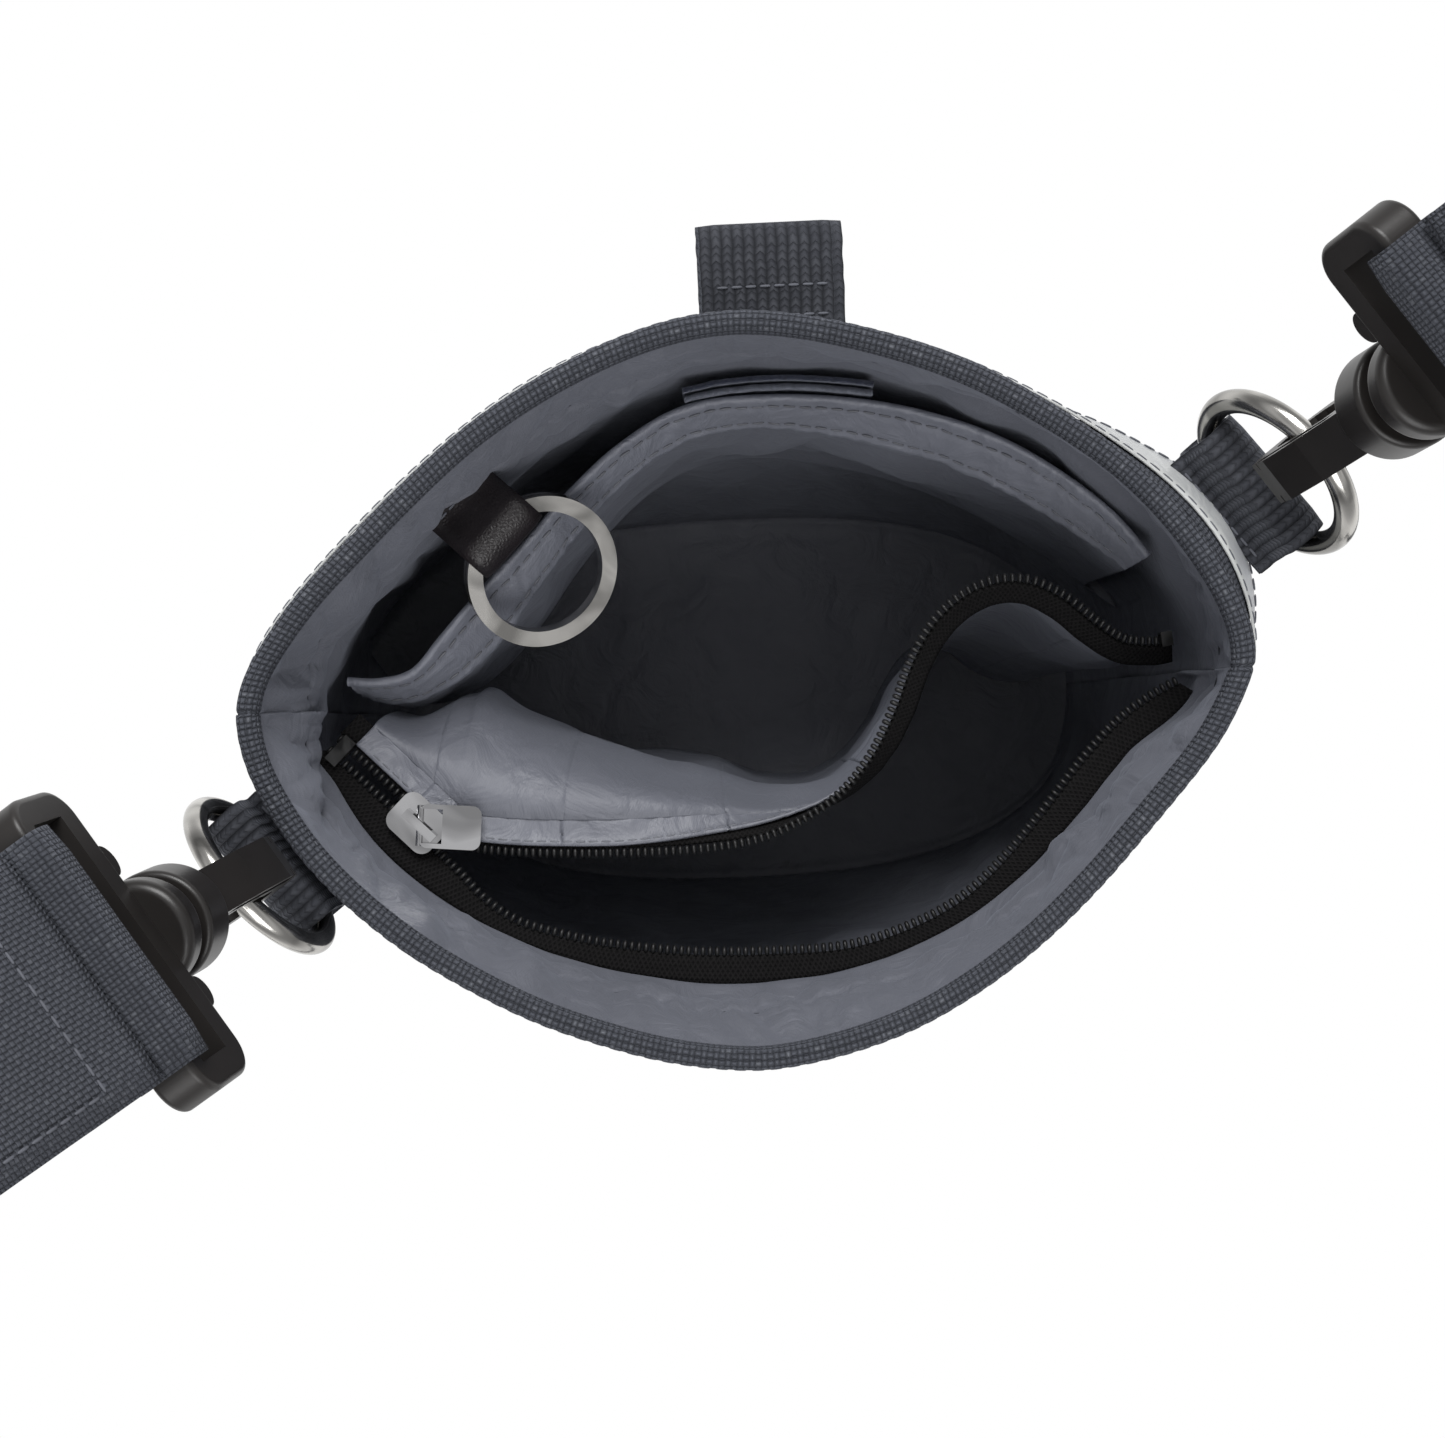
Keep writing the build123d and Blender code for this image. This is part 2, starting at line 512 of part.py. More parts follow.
def gate_body():
    """Sprung tongue that shuts the eye on the nose side."""
    g = Pos(6.9, 0, 12.5) * Box(1.9, 5.6, 16.0)
    g = fillet(g.edges().filter_by(Axis.Y), 0.6)
    g += Pos(8.1, 0, 13.0) * Box(0.8, 3.2, 8.0)
    # round root that it turns on
    g += Pos(6.9, 0, 20.5) * (Rot(90, 0, 0) * Cylinder(0.95, 5.6))
    return g


SLOT_W, SLOT_H = STRAP_W + 2.0, 9.0
LOOP_W, LOOP_D = 49.0, 7.0


def clip_base():
    """Dome, neck and webbing loop, turning in the hook's collar."""
    b = Pos(0, 0, 27.0) * Cylinder(HEAD_R, 3.4)
    b += Pos(0, 0, 31.5) * Cylinder(STEM_R, 7.5)
    b += Pos(0, 0, 34.9) * Cylinder(6.3, 2.2)
    dome = Pos(0, 0, 38.4) * Cylinder(8.4, 5.2)
    dome = fillet(dome.edges().filter_by(GeomType.CIRCLE), 1.6)
    b += dome
    z0 = 40.0
    hh = SLOT_H + 9.0
    # loop: wide across local Y
    frame = Pos(0, 0, z0 + hh / 2) * Box(LOOP_D, LOOP_W, hh)
    frame = fillet(frame.edges().filter_by(Axis.X), 5.0)
    frame = fillet(frame.edges().filter_by(Axis.Z), 1.0)
    frame -= Pos(0, 0, z0 + 5.4 + SLOT_H / 2) * Box(LOOP_D * 2, SLOT_W, SLOT_H)
    b += frame
    for sy in (-1, 1):
        b += Pos(0, sy * 11.5, z0 - 0.4) * (Rot(0, 90, 0) * Cylinder(2.6, LOOP_D - 1.2))
    return b


BAR_Z = 40.0 + 5.4 + SLOT_H + 1.8    # the bar the strap folds round


def lean_frame(p, az, lean):
    return Location(p, (0, 0, az)) * Rot(0, lean, 0)


CLIP_L = dict(p=ring_top(LEFT_P, LEFT_AZ, LEFT_LEAN), az=213.0, lean=10.0)
CLIP_R = dict(p=ring_top(RIGHT_P, RIGHT_AZ, RIGHT_LEAN), az=35.5, lean=13.0)
for side, c in (("left", CLIP_L), ("right", CLIP_R)):
    # the claw seats on the wire a little above the ring's middle line
    loc = lean_frame(c["p"], c["az"], c["lean"])
    PARTS[f"clip_hook_{side}"] = loc * hook_body()
    PARTS[f"clip_gate_{side}"] = loc * gate_body()
    PARTS[f"clip_base_{side}"] = loc * clip_base()
    c["loc"] = loc


def to_world(loc, v):
    p = (loc * Location(v)).position
    return (p.X, p.Y, p.Z)


# ---------------------------------------------------------------- key holder
KEY_P = (-42.4, 30.2, H - 28.0)
KEY_AZ = -44.0      # from the back wall towards the middle
KEY_DROP = 30.0     # degrees below level
KEY_W = 15.0        # leather band width
KEY_R, KEY_T = 3.3, 1.2   # its fold round the ring, and thickness
TAIL = 12.0
leather = extrude(Plane.XZ * Circle(KEY_R + KEY_T), KEY_W / 2, both=True)
leather += extrude(Plane.XZ * Polygon((0, KEY_R + KEY_T), (-7.2, KEY_T + 0.1), (-TAIL, KEY_T + 0.1), (-TAIL, -KEY_T - 0.1), (-7.2, -KEY_T - 0.1), (0, -KEY_R - KEY_T), align=None), KEY_W / 2, both=True)
leather -= extrude(Plane.XZ * Circle(KEY_R), KEY_W, both=True)
key_loc = Location(KEY_P, (0, 0, KEY_AZ))
leather = key_loc * leather
# sewn to the facing: the tail ends at its inner face
SEWN = 0.12
behind = [(z, 12.0, part_way(f, -LINING - SEWN)) for z, f in ((TOP_Z[-1], 0.0), (H - 14.0, 0.38), (H - 23.0, 0.78), (HEM_Z, 1.0), (HEM_Z - 9.0, 1.0))]
PARTS["key_loop"] = leather - band(1.6, 2.9, behind, pulled=False, n=15)
# split ring: two flat turns
KR, KW, KH = 12.5, 2.8, 2.6
kring = Cylinder(KR + KW / 2, KH) - Cylinder(KR - KW / 2, KH * 2)
groove = Cylinder(KR + KW, 0.25) - Cylinder(KR - 0.2, 1)
kring -= groove
PARTS["key_ring"] = key_loc * Rot(0, KEY_DROP, 0) * Pos(KR - 1.2, 0, 0) * kring


# ---------------------------------------------------------------- shoulder strap
# the strap's route, and the way its width points at each place
bar_l = to_world(CLIP_L["loc"], (0, 0, BAR_Z))
bar_r = to_world(CLIP_R["loc"], (0, 0, BAR_Z))
side_l = (math.sin(math.radians(213.0)) * -1, math.cos(math.radians(213.0)), 0.0)
side_r = (math.sin(math.radians(35.5)), -math.cos(math.radians(35.5)), 0.0)


def bspline(points, samples):
    """Clamped uniform quadratic B-spline through control values."""
    n = len(points)
    spans = n - 2
    out = []
    for k in range(samples + 1):
        u = spans * k / samples
        i = min(int(u), spans - 1)
        knots = lambda j: min(max(j - 2, 0), spans)
        d = [points[i], points[i + 1], points[i + 2]]
        for r in (1, 2):
            for j in range(2, r - 1, -1):
                lo, hi = knots(i + j), knots(i + j + 3 - r)
                a = (u - lo) / (hi - lo)
                d[j] = tuple((1 - a) * p + a * q for p, q in zip(d[j - 1], d[j]))
        out.append(d[2])
    return out


def norm(v):
    m = math.sqrt(sum(c * c for c in v))
    return tuple(c / m for c in v)


def cross(a, b):
    return (a[1] * b[2] - a[2] * b[1], a[2] * b[0] - a[0] * b[2], a[0] * b[1] - a[1] * b[0])


def web(route, width, thick, lift=0.0, samples=90, k0=0, k1=None, closed_floor=True):
    """Flat webbing along a route of (position, width direction) control values."""
    pos = bspline([r[0] for r in route], samples)
    wid = bspline([r[1] for r in route], samples)
    k1 = samples if k1 is None else k1
    rows = []
    for k in range(k0, k1 + 1):
        a, b = pos[max(0, k - 1)], pos[min(samples, k + 1)]
        tan = norm(tuple(q - p for p, q in zip(a, b)))
        w = wid[k]
        dot = sum(p * q for p, q in zip(w, tan))
        w = norm(tuple(p - dot * q for p, q in zip(w, tan)))
        nrm = cross(tan, w)
        c = [p + lift * q for p, q in zip(pos[k], nrm)]
        corners = [[c[i] + sw * w[i] * width / 2 + sn * nrm[i] * thick / 2 for i in range(3)] for sw, sn in ((-1, -1), (1, -1), (1, 1), (-1, 1))]
        low = min(p[2] for p in corners)
        if low < 0.1:
            for p in corners:
                p[2] += 0.1 - low
        rows.append([Vector(*p) for p in corners])
    faces = []

    def tri(a, b, c):
        faces.append(Face(Wire([Edge.make_line(a, b), Edge.make_line(b, c), Edge.make_line(c, a)])))

    for r0, r1 in zip(rows, rows[1:]):
        for i in range(4):
            j = (i + 1) % 4
            if i == 2:
                # same diagonal as the face opposite, so that layers nest
                tri(r0[i], r0[j], r1[i])
                tri(r0[j], r1[j], r1[i])
            else:
                tri(r0[i], r0[j], r1[j])
                tri(r0[i], r1[j], r1[i])
    for r in (rows[0], rows[-1]):
        tri(r[0], r[1], r[2])
        tri(r[0], r[2], r[3])
    return Solid(Shell(faces)), rows


def along(p, az, out, up):
    a = math.radians(az)
    return (p[0] + math.cos(a) * out, p[1] + math.sin(a) * out, p[2] + up)


EX = (1.0, 0.0, 0.0)
UP = (0.0, 0.0, 1.0)
ROUTE = [
    (along(bar_l, 213, 2.6, 3.0), side_l),
    (along(bar_l, 213, 11.5, 13.5), side_l),
    (along(bar_l, 213, 27, 36), side_l),
    (along(bar_l, 213, 52, 56), side_l),
    (along(bar_l, 213, 84, 42), side_l),
    (along(bar_l, 213, 104, 2), side_l),
    ((-184.0, -94.0, 180.0), (0.66, -0.75, 0.0)),
    ((-190.0, -99.0, 125.0), (0.82, -0.57, 0.0)),
    ((-195.0, -104.0, 75.0), (0.94, -0.34, 0.0)),
    ((-199.0, -112.0, 32.0), EX),
    ((-202.0, -130.0, 4.0), EX),
    ((-204.0, -152.0, 1.2), (0.98, 0.0, 0.2)),
    ((-203.0, -178.0, 14.0), (0.6, 0.1, 0.8)),
    ((-190.0, -201.0, 19.5), UP),
    ((-163.0, -212.0, 19.5), UP),
    ((-130.0, -212.0, 10.0), (0.0, 0.75, 0.66)),
    ((-95.0, -210.0, 1.2), (0.0, 1.0, 0.1)),
    ((-50.0, -207.0, 1.2), (0.0, 1.0, 0.0)),
    ((0.0, -206.0, 1.2), (0.0, 1.0, 0.0)),
    ((50.0, -208.0, 1.2), (0.0, 1.0, 0.0)),
    ((95.0, -212.0, 1.2), (0.0, 1.0, 0.1)),
    ((132.0, -214.0, 10.0), (0.0, 0.75, 0.66)),
    ((166.0, -211.0, 19.5), UP),
    ((193.0, -197.0, 19.5), UP),
    ((205.0, -171.0, 14.0), (-0.6, 0.1, 0.8)),
    ((208.0, -142.0, 1.2), (-0.98, 0.0, 0.2)),
    ((208.0, -108.0, 4.2), (-1.0, 0.0, 0.0)),
    ((207.0, -70.0, 4.4), (-1.0, 0.0, 0.0)),
    ((206.0, -32.0, 4.4), (-1.0, 0.0, 0.0)),
    ((205.0, 4.0, 4.2), (-1.0, 0.0, 0.0)),
    ((203.5, 40.0, 5.0), (-1.0, 0.0, 0.0)),
    ((202.0, 68.0, 26.0), (-1.0, 0.0, 0.0)),
    ((200.0, 84.0, 70.0), (-0.96, 0.25, 0.0)),
    ((197.0, 95.0, 122.0), (-0.86, 0.5, 0.0)),
    ((192.0, 102.0, 178.0), (-0.7, 0.7, 0.0)),
    (along(bar_r, 35.5, 98, 2), tuple(-c for c in side_r)),
    (along(bar_r, 35.5, 80, 42), tuple(-c for c in side_r)),
    (along(bar_r, 35.5, 50, 56), tuple(-c for c in side_r)),
    (along(bar_r, 35.5, 26, 36), tuple(-c for c in side_r)),
    (along(bar_r, 35.5, 11, 15), tuple(-c for c in side_r)),
    (along(bar_r, 35.5, 2.6, 4.6), tuple(-c for c in side_r)),
]
# right width directions run the other way round: keep them continuous
fixed = []
last = None
for p, w in ROUTE:
    if last is not None and sum(a * b for a, b in zip(w, last)) < 0:
        w = tuple(-c for c in w)
    fixed.append((p, w))
    last = w
ROUTE = fixed
N = 3 * (len(ROUTE) - 1)
PARTS["strap_webbing"], rows = web(ROUTE, STRAP_W, STRAP_T, samples=N)
mid = [sum((r[i] for i in range(1, 4)), r[0]) * 0.25 for r in rows]
STRAP_LEN = sum((b - a).length for a, b in zip(mid, mid[1:]))
print("strap length", round(STRAP_LEN), "mm")
for k in (0, 1, 2, 60, N - 2, N - 1, N):
    print(k, [tuple(round(c, 1) for c in v) for v in rows[k][:2]])

# sewn end flap over the left bar, and the doubled length over the right bar
FLAP_GAP = STRAP_T + 0.35
FLAP_END = N // 30
PARTS["strap_flap_left"], _ = web(ROUTE, STRAP_W, STRAP_T, lift=FLAP_GAP, samples=N, k0=0, k1=FLAP_END)
ADJ_K = round(N * 27.0 / (len(ROUTE) - 2))
PARTS["strap_return"], _ = web(ROUTE, STRAP_W, STRAP_T, lift=FLAP_GAP, samples=N, k0=ADJ_K, k1=N)

# the strap's folds round the clip bars
BAR_D, BAR_H = LOOP_D, 3.6
fold = Plane.XZ * RectangleRounded(BAR_D + 1.0 + 2 * STRAP_T, BAR_H + 0.8 + 2 * STRAP_T, 2.8)
fold = extrude(fold, STRAP_W / 2, both=True)
fold -= extrude(Plane.XZ * RectangleRounded(BAR_D + 1.0, BAR_H + 0.8, 1.0), STRAP_W, both=True)
for side, c in (("left", CLIP_L), ("right", CLIP_R)):
    PARTS[f"strap_fold_{side}"] = c["loc"] * Pos(0, 0, BAR_Z) * fold

# tri-glide on the straight floor run
ap = mid[ADJ_K]
aq = mid[ADJ_K + 1]
ADJ_AZ = math.degrees(math.atan2(aq.Y - ap.Y, aq.X - ap.X))
TG_IN = STRAP_W / 2 + 0.8
glide = Pos(0, 0, 0)
sides = Pos(0, TG_IN + 1.5, 5.6) * Box(26.0, 3.0, 10.0) + Pos(0, -TG_IN - 1.5, 5.6) * Box(26.0, 3.0, 10.0)
sides = fillet(sides.edges().filter_by(Axis.Y), 3.0)
glide = sides + Pos(11.2, 0, 1.7) * Box(3.4, 2 * TG_IN + 4, 2.2) + Pos(-11.2, 0, 1.7) * Box(3.4, 2 * TG_IN + 4, 2.2)
glide += Pos(0, 0, 8.9) * (Rot(90, 0, 0) * Cylinder(1.3, 2 * TG_IN + 4))
glide_loc = Location((ap.X, ap.Y, 0), (0, 0, ADJ_AZ)) * Pos(-3.6, 0, 0)
PARTS["strap_slider"] = glide_loc * glide
gfold = Rot(90, 0, 0) * Cylinder(1.6 + STRAP_T, STRAP_W) - Rot(90, 0, 0) * Cylinder(1.6, STRAP_W + 4)
PARTS["strap_return_fold"] = glide_loc * Pos(0, 0, 8.9) * gfold


def unit(loc, v):
    a, b = to_world(loc, (0, 0, 0)), to_world(loc, v)
    return [round(q - p, 5) for p, q in zip(a, b)]


def metres(p):
    return [round(c / 1000, 5) for c in p]


print("ring_left", metres(LEFT_P), unit(Location((0, 0, 0), (0, 0, LEFT_AZ)), (0, 1, 0)))
print("ring_right", metres(RIGHT_P), unit(Location((0, 0, 0), (0, 0, RIGHT_AZ)), (0, 1, 0)))
for side, c in (("left", CLIP_L), ("right", CLIP_R)):
    print("clip", side, metres(to_world(c["loc"], (0, 0, 30))), unit(c["loc"], (0, 0, 1)))
    print("gate", side, metres(to_world(c["loc"], (6.9, 0, 20.5))), unit(c["loc"], (0, 1, 0)))
    print("eye", side, metres(to_world(c["loc"], (0, 0, 11))), "ring eye", metres(to_world(c["loc"], (0, 0, -RING_R))))
print("slider", metres((*chain(SL_S), ZIP_Z)), [round(c, 5) for c in CHAIN_D])
print("pull", metres((*chain(SL_S + BAIL_X), ZIP_Z + BAIL_Z)), unit(Location((0, 0, 0), (0, 0, CHAIN_ANG + PULL_YAW)), (0, 1, 0)))
print("key_ring", metres(KEY_P), unit(key_loc, (0, 1, 0)))
print("bars", bar_l, bar_r, "adj", ADJ_K, mid[ADJ_K])
for name, s in PARTS.items():
    export_step(s, f"parts/{name}.step")
print(len(PARTS), "parts")
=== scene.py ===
import json
import math

import bpy
from mathutils import Matrix, Vector, noise


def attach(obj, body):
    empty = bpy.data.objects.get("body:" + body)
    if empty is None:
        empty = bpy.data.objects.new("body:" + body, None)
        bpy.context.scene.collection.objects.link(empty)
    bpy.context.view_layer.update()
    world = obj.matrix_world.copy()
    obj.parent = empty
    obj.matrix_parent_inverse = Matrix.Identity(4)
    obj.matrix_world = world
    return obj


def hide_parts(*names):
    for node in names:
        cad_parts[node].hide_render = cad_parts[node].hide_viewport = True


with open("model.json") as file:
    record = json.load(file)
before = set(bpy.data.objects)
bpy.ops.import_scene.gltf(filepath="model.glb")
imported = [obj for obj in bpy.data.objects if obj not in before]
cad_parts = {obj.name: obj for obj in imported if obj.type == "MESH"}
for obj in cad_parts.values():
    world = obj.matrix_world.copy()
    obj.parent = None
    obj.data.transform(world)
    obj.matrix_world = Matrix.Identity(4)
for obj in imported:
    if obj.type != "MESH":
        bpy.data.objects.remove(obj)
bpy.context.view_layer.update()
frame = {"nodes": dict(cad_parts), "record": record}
NODES = frame["nodes"]
MM = 0.001

# ------------------------------------------------------------------ materials


def scaled(values, k):
    return tuple(c * k for c in values)


class Mat:
    """A node material built with short calls."""

    def __init__(self, name, rough=0.6, metal=0.0, sheen=0.0, spec=0.5):
        self.m = bpy.data.materials.new(name)
        self.m.use_nodes = True
        self.t = self.m.node_tree
        self.b = self.t.nodes["Principled BSDF"]
        self.b.inputs["Roughness"].default_value = rough
        self.b.inputs["Metallic"].default_value = metal
        self.b.inputs["Specular IOR Level"].default_value = spec
        if sheen:
            self.b.inputs["Sheen Weight"].default_value = sheen
            self.b.inputs["Sheen Roughness"].default_value = 0.5
            self.b.inputs["Sheen Tint"].default_value = (0.8, 0.85, 1.0, 1)

    def n(self, kind, **kw):
        node = self.t.nodes.new("ShaderNode" + kind)
        for k, v in kw.items():
            setattr(node, k, v)
        return node

    def put(self, socket, value):
        if isinstance(value, bpy.types.NodeSocket):
            self.t.links.new(value, socket)
        elif value is not None:
            socket.default_value = value

    def math(self, op, a, b=None, c=None):
        node = self.n("Math", operation=op)
        for i, v in enumerate((a, b, c)):
            if v is not None:
                self.put(node.inputs[i], v)
        return node.outputs[0]

    def mul(self, a, b):
        return self.math("MULTIPLY", a, b)

    def add(self, a, b):
        return self.math("ADD", a, b)

    def sub(self, a, b):
        return self.math("SUBTRACT", a, b)

    def sin(self, a):
        return self.math("SINE", a)

    def uv(self):
        s = self.n("SeparateXYZ")
        self.put(s.inputs[0], self.n("UVMap").outputs[0])
        return s.outputs[0], s.outputs[1]

    def coords(self):
        return self.n("TexCoord").outputs["Object"]

    def noise(self, scale, detail=2.0, rough=0.5, vec=None, dist=0.0):
        node = self.n("TexNoise")
        self.put(node.inputs["Vector"], vec if vec is not None else self.coords())
        node.inputs["Scale"].default_value = scale
        node.inputs["Detail"].default_value = detail
        node.inputs["Roughness"].default_value = rough
        node.inputs["Distortion"].default_value = dist
        return node.outputs["Fac"]

    def ramp(self, fac, stops):
        r = self.n("ValToRGB")
        el = r.color_ramp.elements
        while len(el) < len(stops):
            el.new(0.5)
        for e, (p, c) in zip(el, stops):
            e.position = p
            e.color = (*c, 1) if len(c) == 3 else c
        self.put(r.inputs[0], fac)
        return r.outputs[0]

    def mix(self, fac, a, b, kind="MIX"):
        x = self.n("Mix", data_type="RGBA", blend_type=kind)
        self.put(x.inputs[0], fac)
        for i, v in ((6, a), (7, b)):
            self.put(x.inputs[i], (*v, 1) if isinstance(v, tuple) and len(v) == 3 else v)
        return x.outputs[2]

    def bump(self, height, strength=0.5, dist=0.0005, after=None):
        b = self.n("Bump")
        b.inputs["Strength"].default_value = strength
        b.inputs["Distance"].default_value = dist
        self.put(b.inputs["Height"], height)
        if after is not None:
            self.put(b.inputs["Normal"], after)
        self.put(self.b.inputs["Normal"], b.outputs[0])
        return b.outputs[0]

    def color(self, c):
        self.put(self.b.inputs["Base Color"], (*c, 1) if isinstance(c, tuple) else c)

    def rough(self, v):
        self.put(self.b.inputs["Roughness"], v)

    def white(self, a, b):
        """Random value for each whole pair (a, b)."""
        w = self.n("TexWhiteNoise", noise_dimensions="2D")
        c = self.n("CombineXYZ")
        self.put(c.inputs[0], a)
        self.put(c.inputs[1], b)
        self.put(w.inputs["Vector"], c.outputs[0])
        return w.outputs["Value"]


def lerp3(a, b, f):
    return a + (b - a) * f


def weave_cells(m, pitch_u, pitch_v, wobble=0.0):
    """Over-and-under weave: returns height, a random value per yarn crossing, and the two cell fractions."""
    u, v = m.uv()
    if wobble:
        n = m.noise(90.0, 2)
        u = m.add(u, m.mul(n, wobble))
    su = m.math("DIVIDE", u, pitch_u)
    sv = m.math("DIVIDE", v, pitch_v)
    fu, fv = m.math("FRACT", su), m.math("FRACT", sv)
    iu, iv = m.math("FLOOR", su), m.math("FLOOR", sv)
    odd = m.math("PINGPONG", m.add(iu, iv), 1.0)
    hu = m.sin(m.mul(fu, math.pi))
    hv = m.sin(m.mul(fv, math.pi))
    # on odd cells the yarn runs along u, on even ones along v
    along_u = m.mul(m.math("POWER", hu, 0.35), hv)
    along_v = m.mul(m.math("POWER", hv, 0.35), hu)
    h = m.add(m.mul(along_u, odd), m.mul(along_v, m.sub(1.0, odd)))
    return h, m.white(iu, iv), fu, fv, odd


def heather(name, dark, mid, light, pitch=1.0, depth=1.0, fleck=1.0):
    m = Mat(name, rough=0.92, sheen=0.15, spec=0.2)
    h, rnd, fu, fv, odd = weave_cells(m, pitch * MM, pitch * MM, 0.0006)
    calm = tuple(lerp3(a, b, 0.45) for a, b in zip(mid, dark))
    base = m.ramp(
        rnd,
        [(0.0, calm), (0.35, mid), (0.86, mid), (1.0, tuple(lerp3(a, b, 0.5) for a, b in zip(mid, light)))],
    )
    fibre = m.noise(2600, 2, 0.7)
    base = m.mix(m.mul(fibre, 0.35 * fleck), base, light)
    # painted shade: the colour darkens toward a dark tone in the gaps between the yarns, where the weave's height is
    # low
    gap = m.sub(1.0, m.math("POWER", h, 0.8))
    base = m.mix(m.mul(gap, 0.95), base, scaled(dark, 0.3))
    big = m.noise(35, 3)
    base = m.mix(m.mul(m.sub(big, 0.35), 0.35), base, mid)
    m.color(base)
    m.bump(m.add(h, m.mul(fibre, 0.25)), depth, 0.0007)
    return m.m


def nylon(name, col, rough=0.46, lift=1.0):
    m = Mat(name, rough=rough, sheen=0.2, spec=0.5)
    u, v = m.uv()
    tw = m.sin(m.mul(m.add(u, v), 2 * math.pi / 0.00042))
    th = m.sin(m.mul(v, 2 * math.pi / 0.00031))
    fine = m.mul(tw, th)
    n1 = m.noise(22, 3, 0.55)
    n2 = m.noise(105, 4, 0.55, None, 0.9)
    c = m.ramp(n1, [(0.25, scaled(col, 0.86)), (0.75, tuple(min(1, x * 1.1) for x in col))])
    # painted highlight: the twill's raised crossings are mixed a little lighter, following the same pattern as the fine
    # bump
    c = m.mix(m.mul(m.add(m.mul(fine, 0.5), 0.5), 0.10), c, scaled(col, 1.5))
    m.color(c)
    m.rough(m.add(m.mul(n2, 0.18), rough - 0.09))
    b1 = m.bump(n2, 0.34 * lift, 0.0034)
    m.bump(fine, 0.16, 0.00012, b1)
    return m.m


def ribbed(name, dark, mid, light, rib, pick, rough=0.85):
    """Webbing: cords run along u side by side across v, each with slanting yarns."""
    m = Mat(name, rough=rough, sheen=0.15, spec=0.25)
    u, v = m.uv()
    sv = m.math("DIVIDE", v, rib)
    fr = m.math("FRACT", sv)
    lean = m.math("ABSOLUTE", m.sub(fr, 0.5))
    su = m.add(m.math("DIVIDE", u, pick), m.mul(lean, 1.1))
    fv = m.sin(m.mul(fr, math.pi))
    fu = m.sin(m.mul(m.math("FRACT", su), math.pi))
    h = m.mul(m.math("POWER", fv, 0.7), m.add(m.mul(m.math("POWER", fu, 0.6), 0.45), 0.55))
    rnd = m.white(m.math("FLOOR", su), m.math("FLOOR", sv))
    fibre = m.noise(2200, 2, 0.7)
    base = m.mix(m.mul(rnd, 0.35), mid, light)
    base = m.mix(m.mul(fibre, 0.3), base, light)
    # painted shade: the colour darkens between the cords and between the slanting yarns, where the height h is low
    base = m.mix(m.mul(m.sub(1.0, h), 0.9), base, scaled(dark, 0.3))
    m.color(base)
    m.bump(m.add(h, m.mul(fibre, 0.2)), 0.9, 0.0006)
    return m.m


def moulded(name, col, rough=0.36):
    m = Mat(name, rough=rough, spec=0.5)
    n = m.noise(700, 3, 0.6)
    b = m.noise(45, 3)
    m.color(m.ramp(b, [(0.3, scaled(col, 0.8)), (0.7, scaled(col, 1.25))]))
    m.rough(m.add(m.mul(b, 0.16), rough - 0.08))
    m.bump(n, 0.06, 0.0002)
    return m.m


def metal(name, col, rough=0.14, scratch=0.3, dark=0.35, reflection_patch=140):
    m = Mat(name, rough=rough, metal=1.0)
    # painted reflection: the base colour is broken into dark and light patches that stand in for the surroundings
    # mirrored in the metal
    n = m.noise(reflection_patch, 2, 0.4, None, 1.4)
    m.color(m.ramp(n, [(0.40, scaled(col, dark)), (0.52, scaled(col, 0.8)), (0.6, col)]))
    m.rough(m.add(m.mul(m.noise(260, 3), 0.16 * scratch), rough))
    m.bump(m.noise(500, 3), 0.03 * scratch, 0.0002)
    return m.m


def leathery(name, col):
    m = Mat(name, rough=0.38, spec=0.5)
    v = m.n("TexVoronoi", feature="DISTANCE_TO_EDGE")
    m.put(v.inputs["Vector"], m.coords())
    v.inputs["Scale"].default_value = 1500
    n = m.noise(120, 3)
    m.color(m.ramp(n, [(0.3, scaled(col, 0.7)), (0.75, scaled(col, 1.6))]))
    m.rough(m.add(m.mul(n, 0.2), 0.28))
    m.bump(v.outputs["Distance"], 0.5, 0.0003)
    return m.m


def tape_cloth(name, col):
    m = Mat(name, rough=0.9, spec=0.2)
    u, v = m.uv()
    a = m.sin(m.mul(m.add(u, m.mul(v, 0.6)), 2 * math.pi / 0.0009))
    b = m.sin(m.mul(m.sub(u, m.mul(v, 0.6)), 2 * math.pi / 0.0009))
    h = m.math("MAXIMUM", a, b)
    # painted light and shade mixed with random tone: the weave's raised yarns are coloured lighter and its hollows
    # darker
    weave_shade_and_tone = m.add(m.mul(h, 0.3), m.mul(m.noise(900, 2), 0.6))
    m.color(m.ramp(weave_shade_and_tone, [(0.1, scaled(col, 0.5)), (0.8, scaled(col, 1.8))]))
    m.bump(h, 0.5, 0.0003)
    return m.m


def fuzzy(name, col):
    m = Mat(name, rough=1.0, sheen=0.6, spec=0.1)
    n = m.noise(1500, 4, 0.8)
    # random tone and painted shade together: the pile's colour follows the same noise as its bump, darker in the
    # hollows and lighter on the raised fibres
    m.color(m.ramp(n, [(0.3, scaled(col, 0.4)), (0.7, scaled(col, 2.2))]))
    m.bump(n, 0.9, 0.0008)
    return m.m


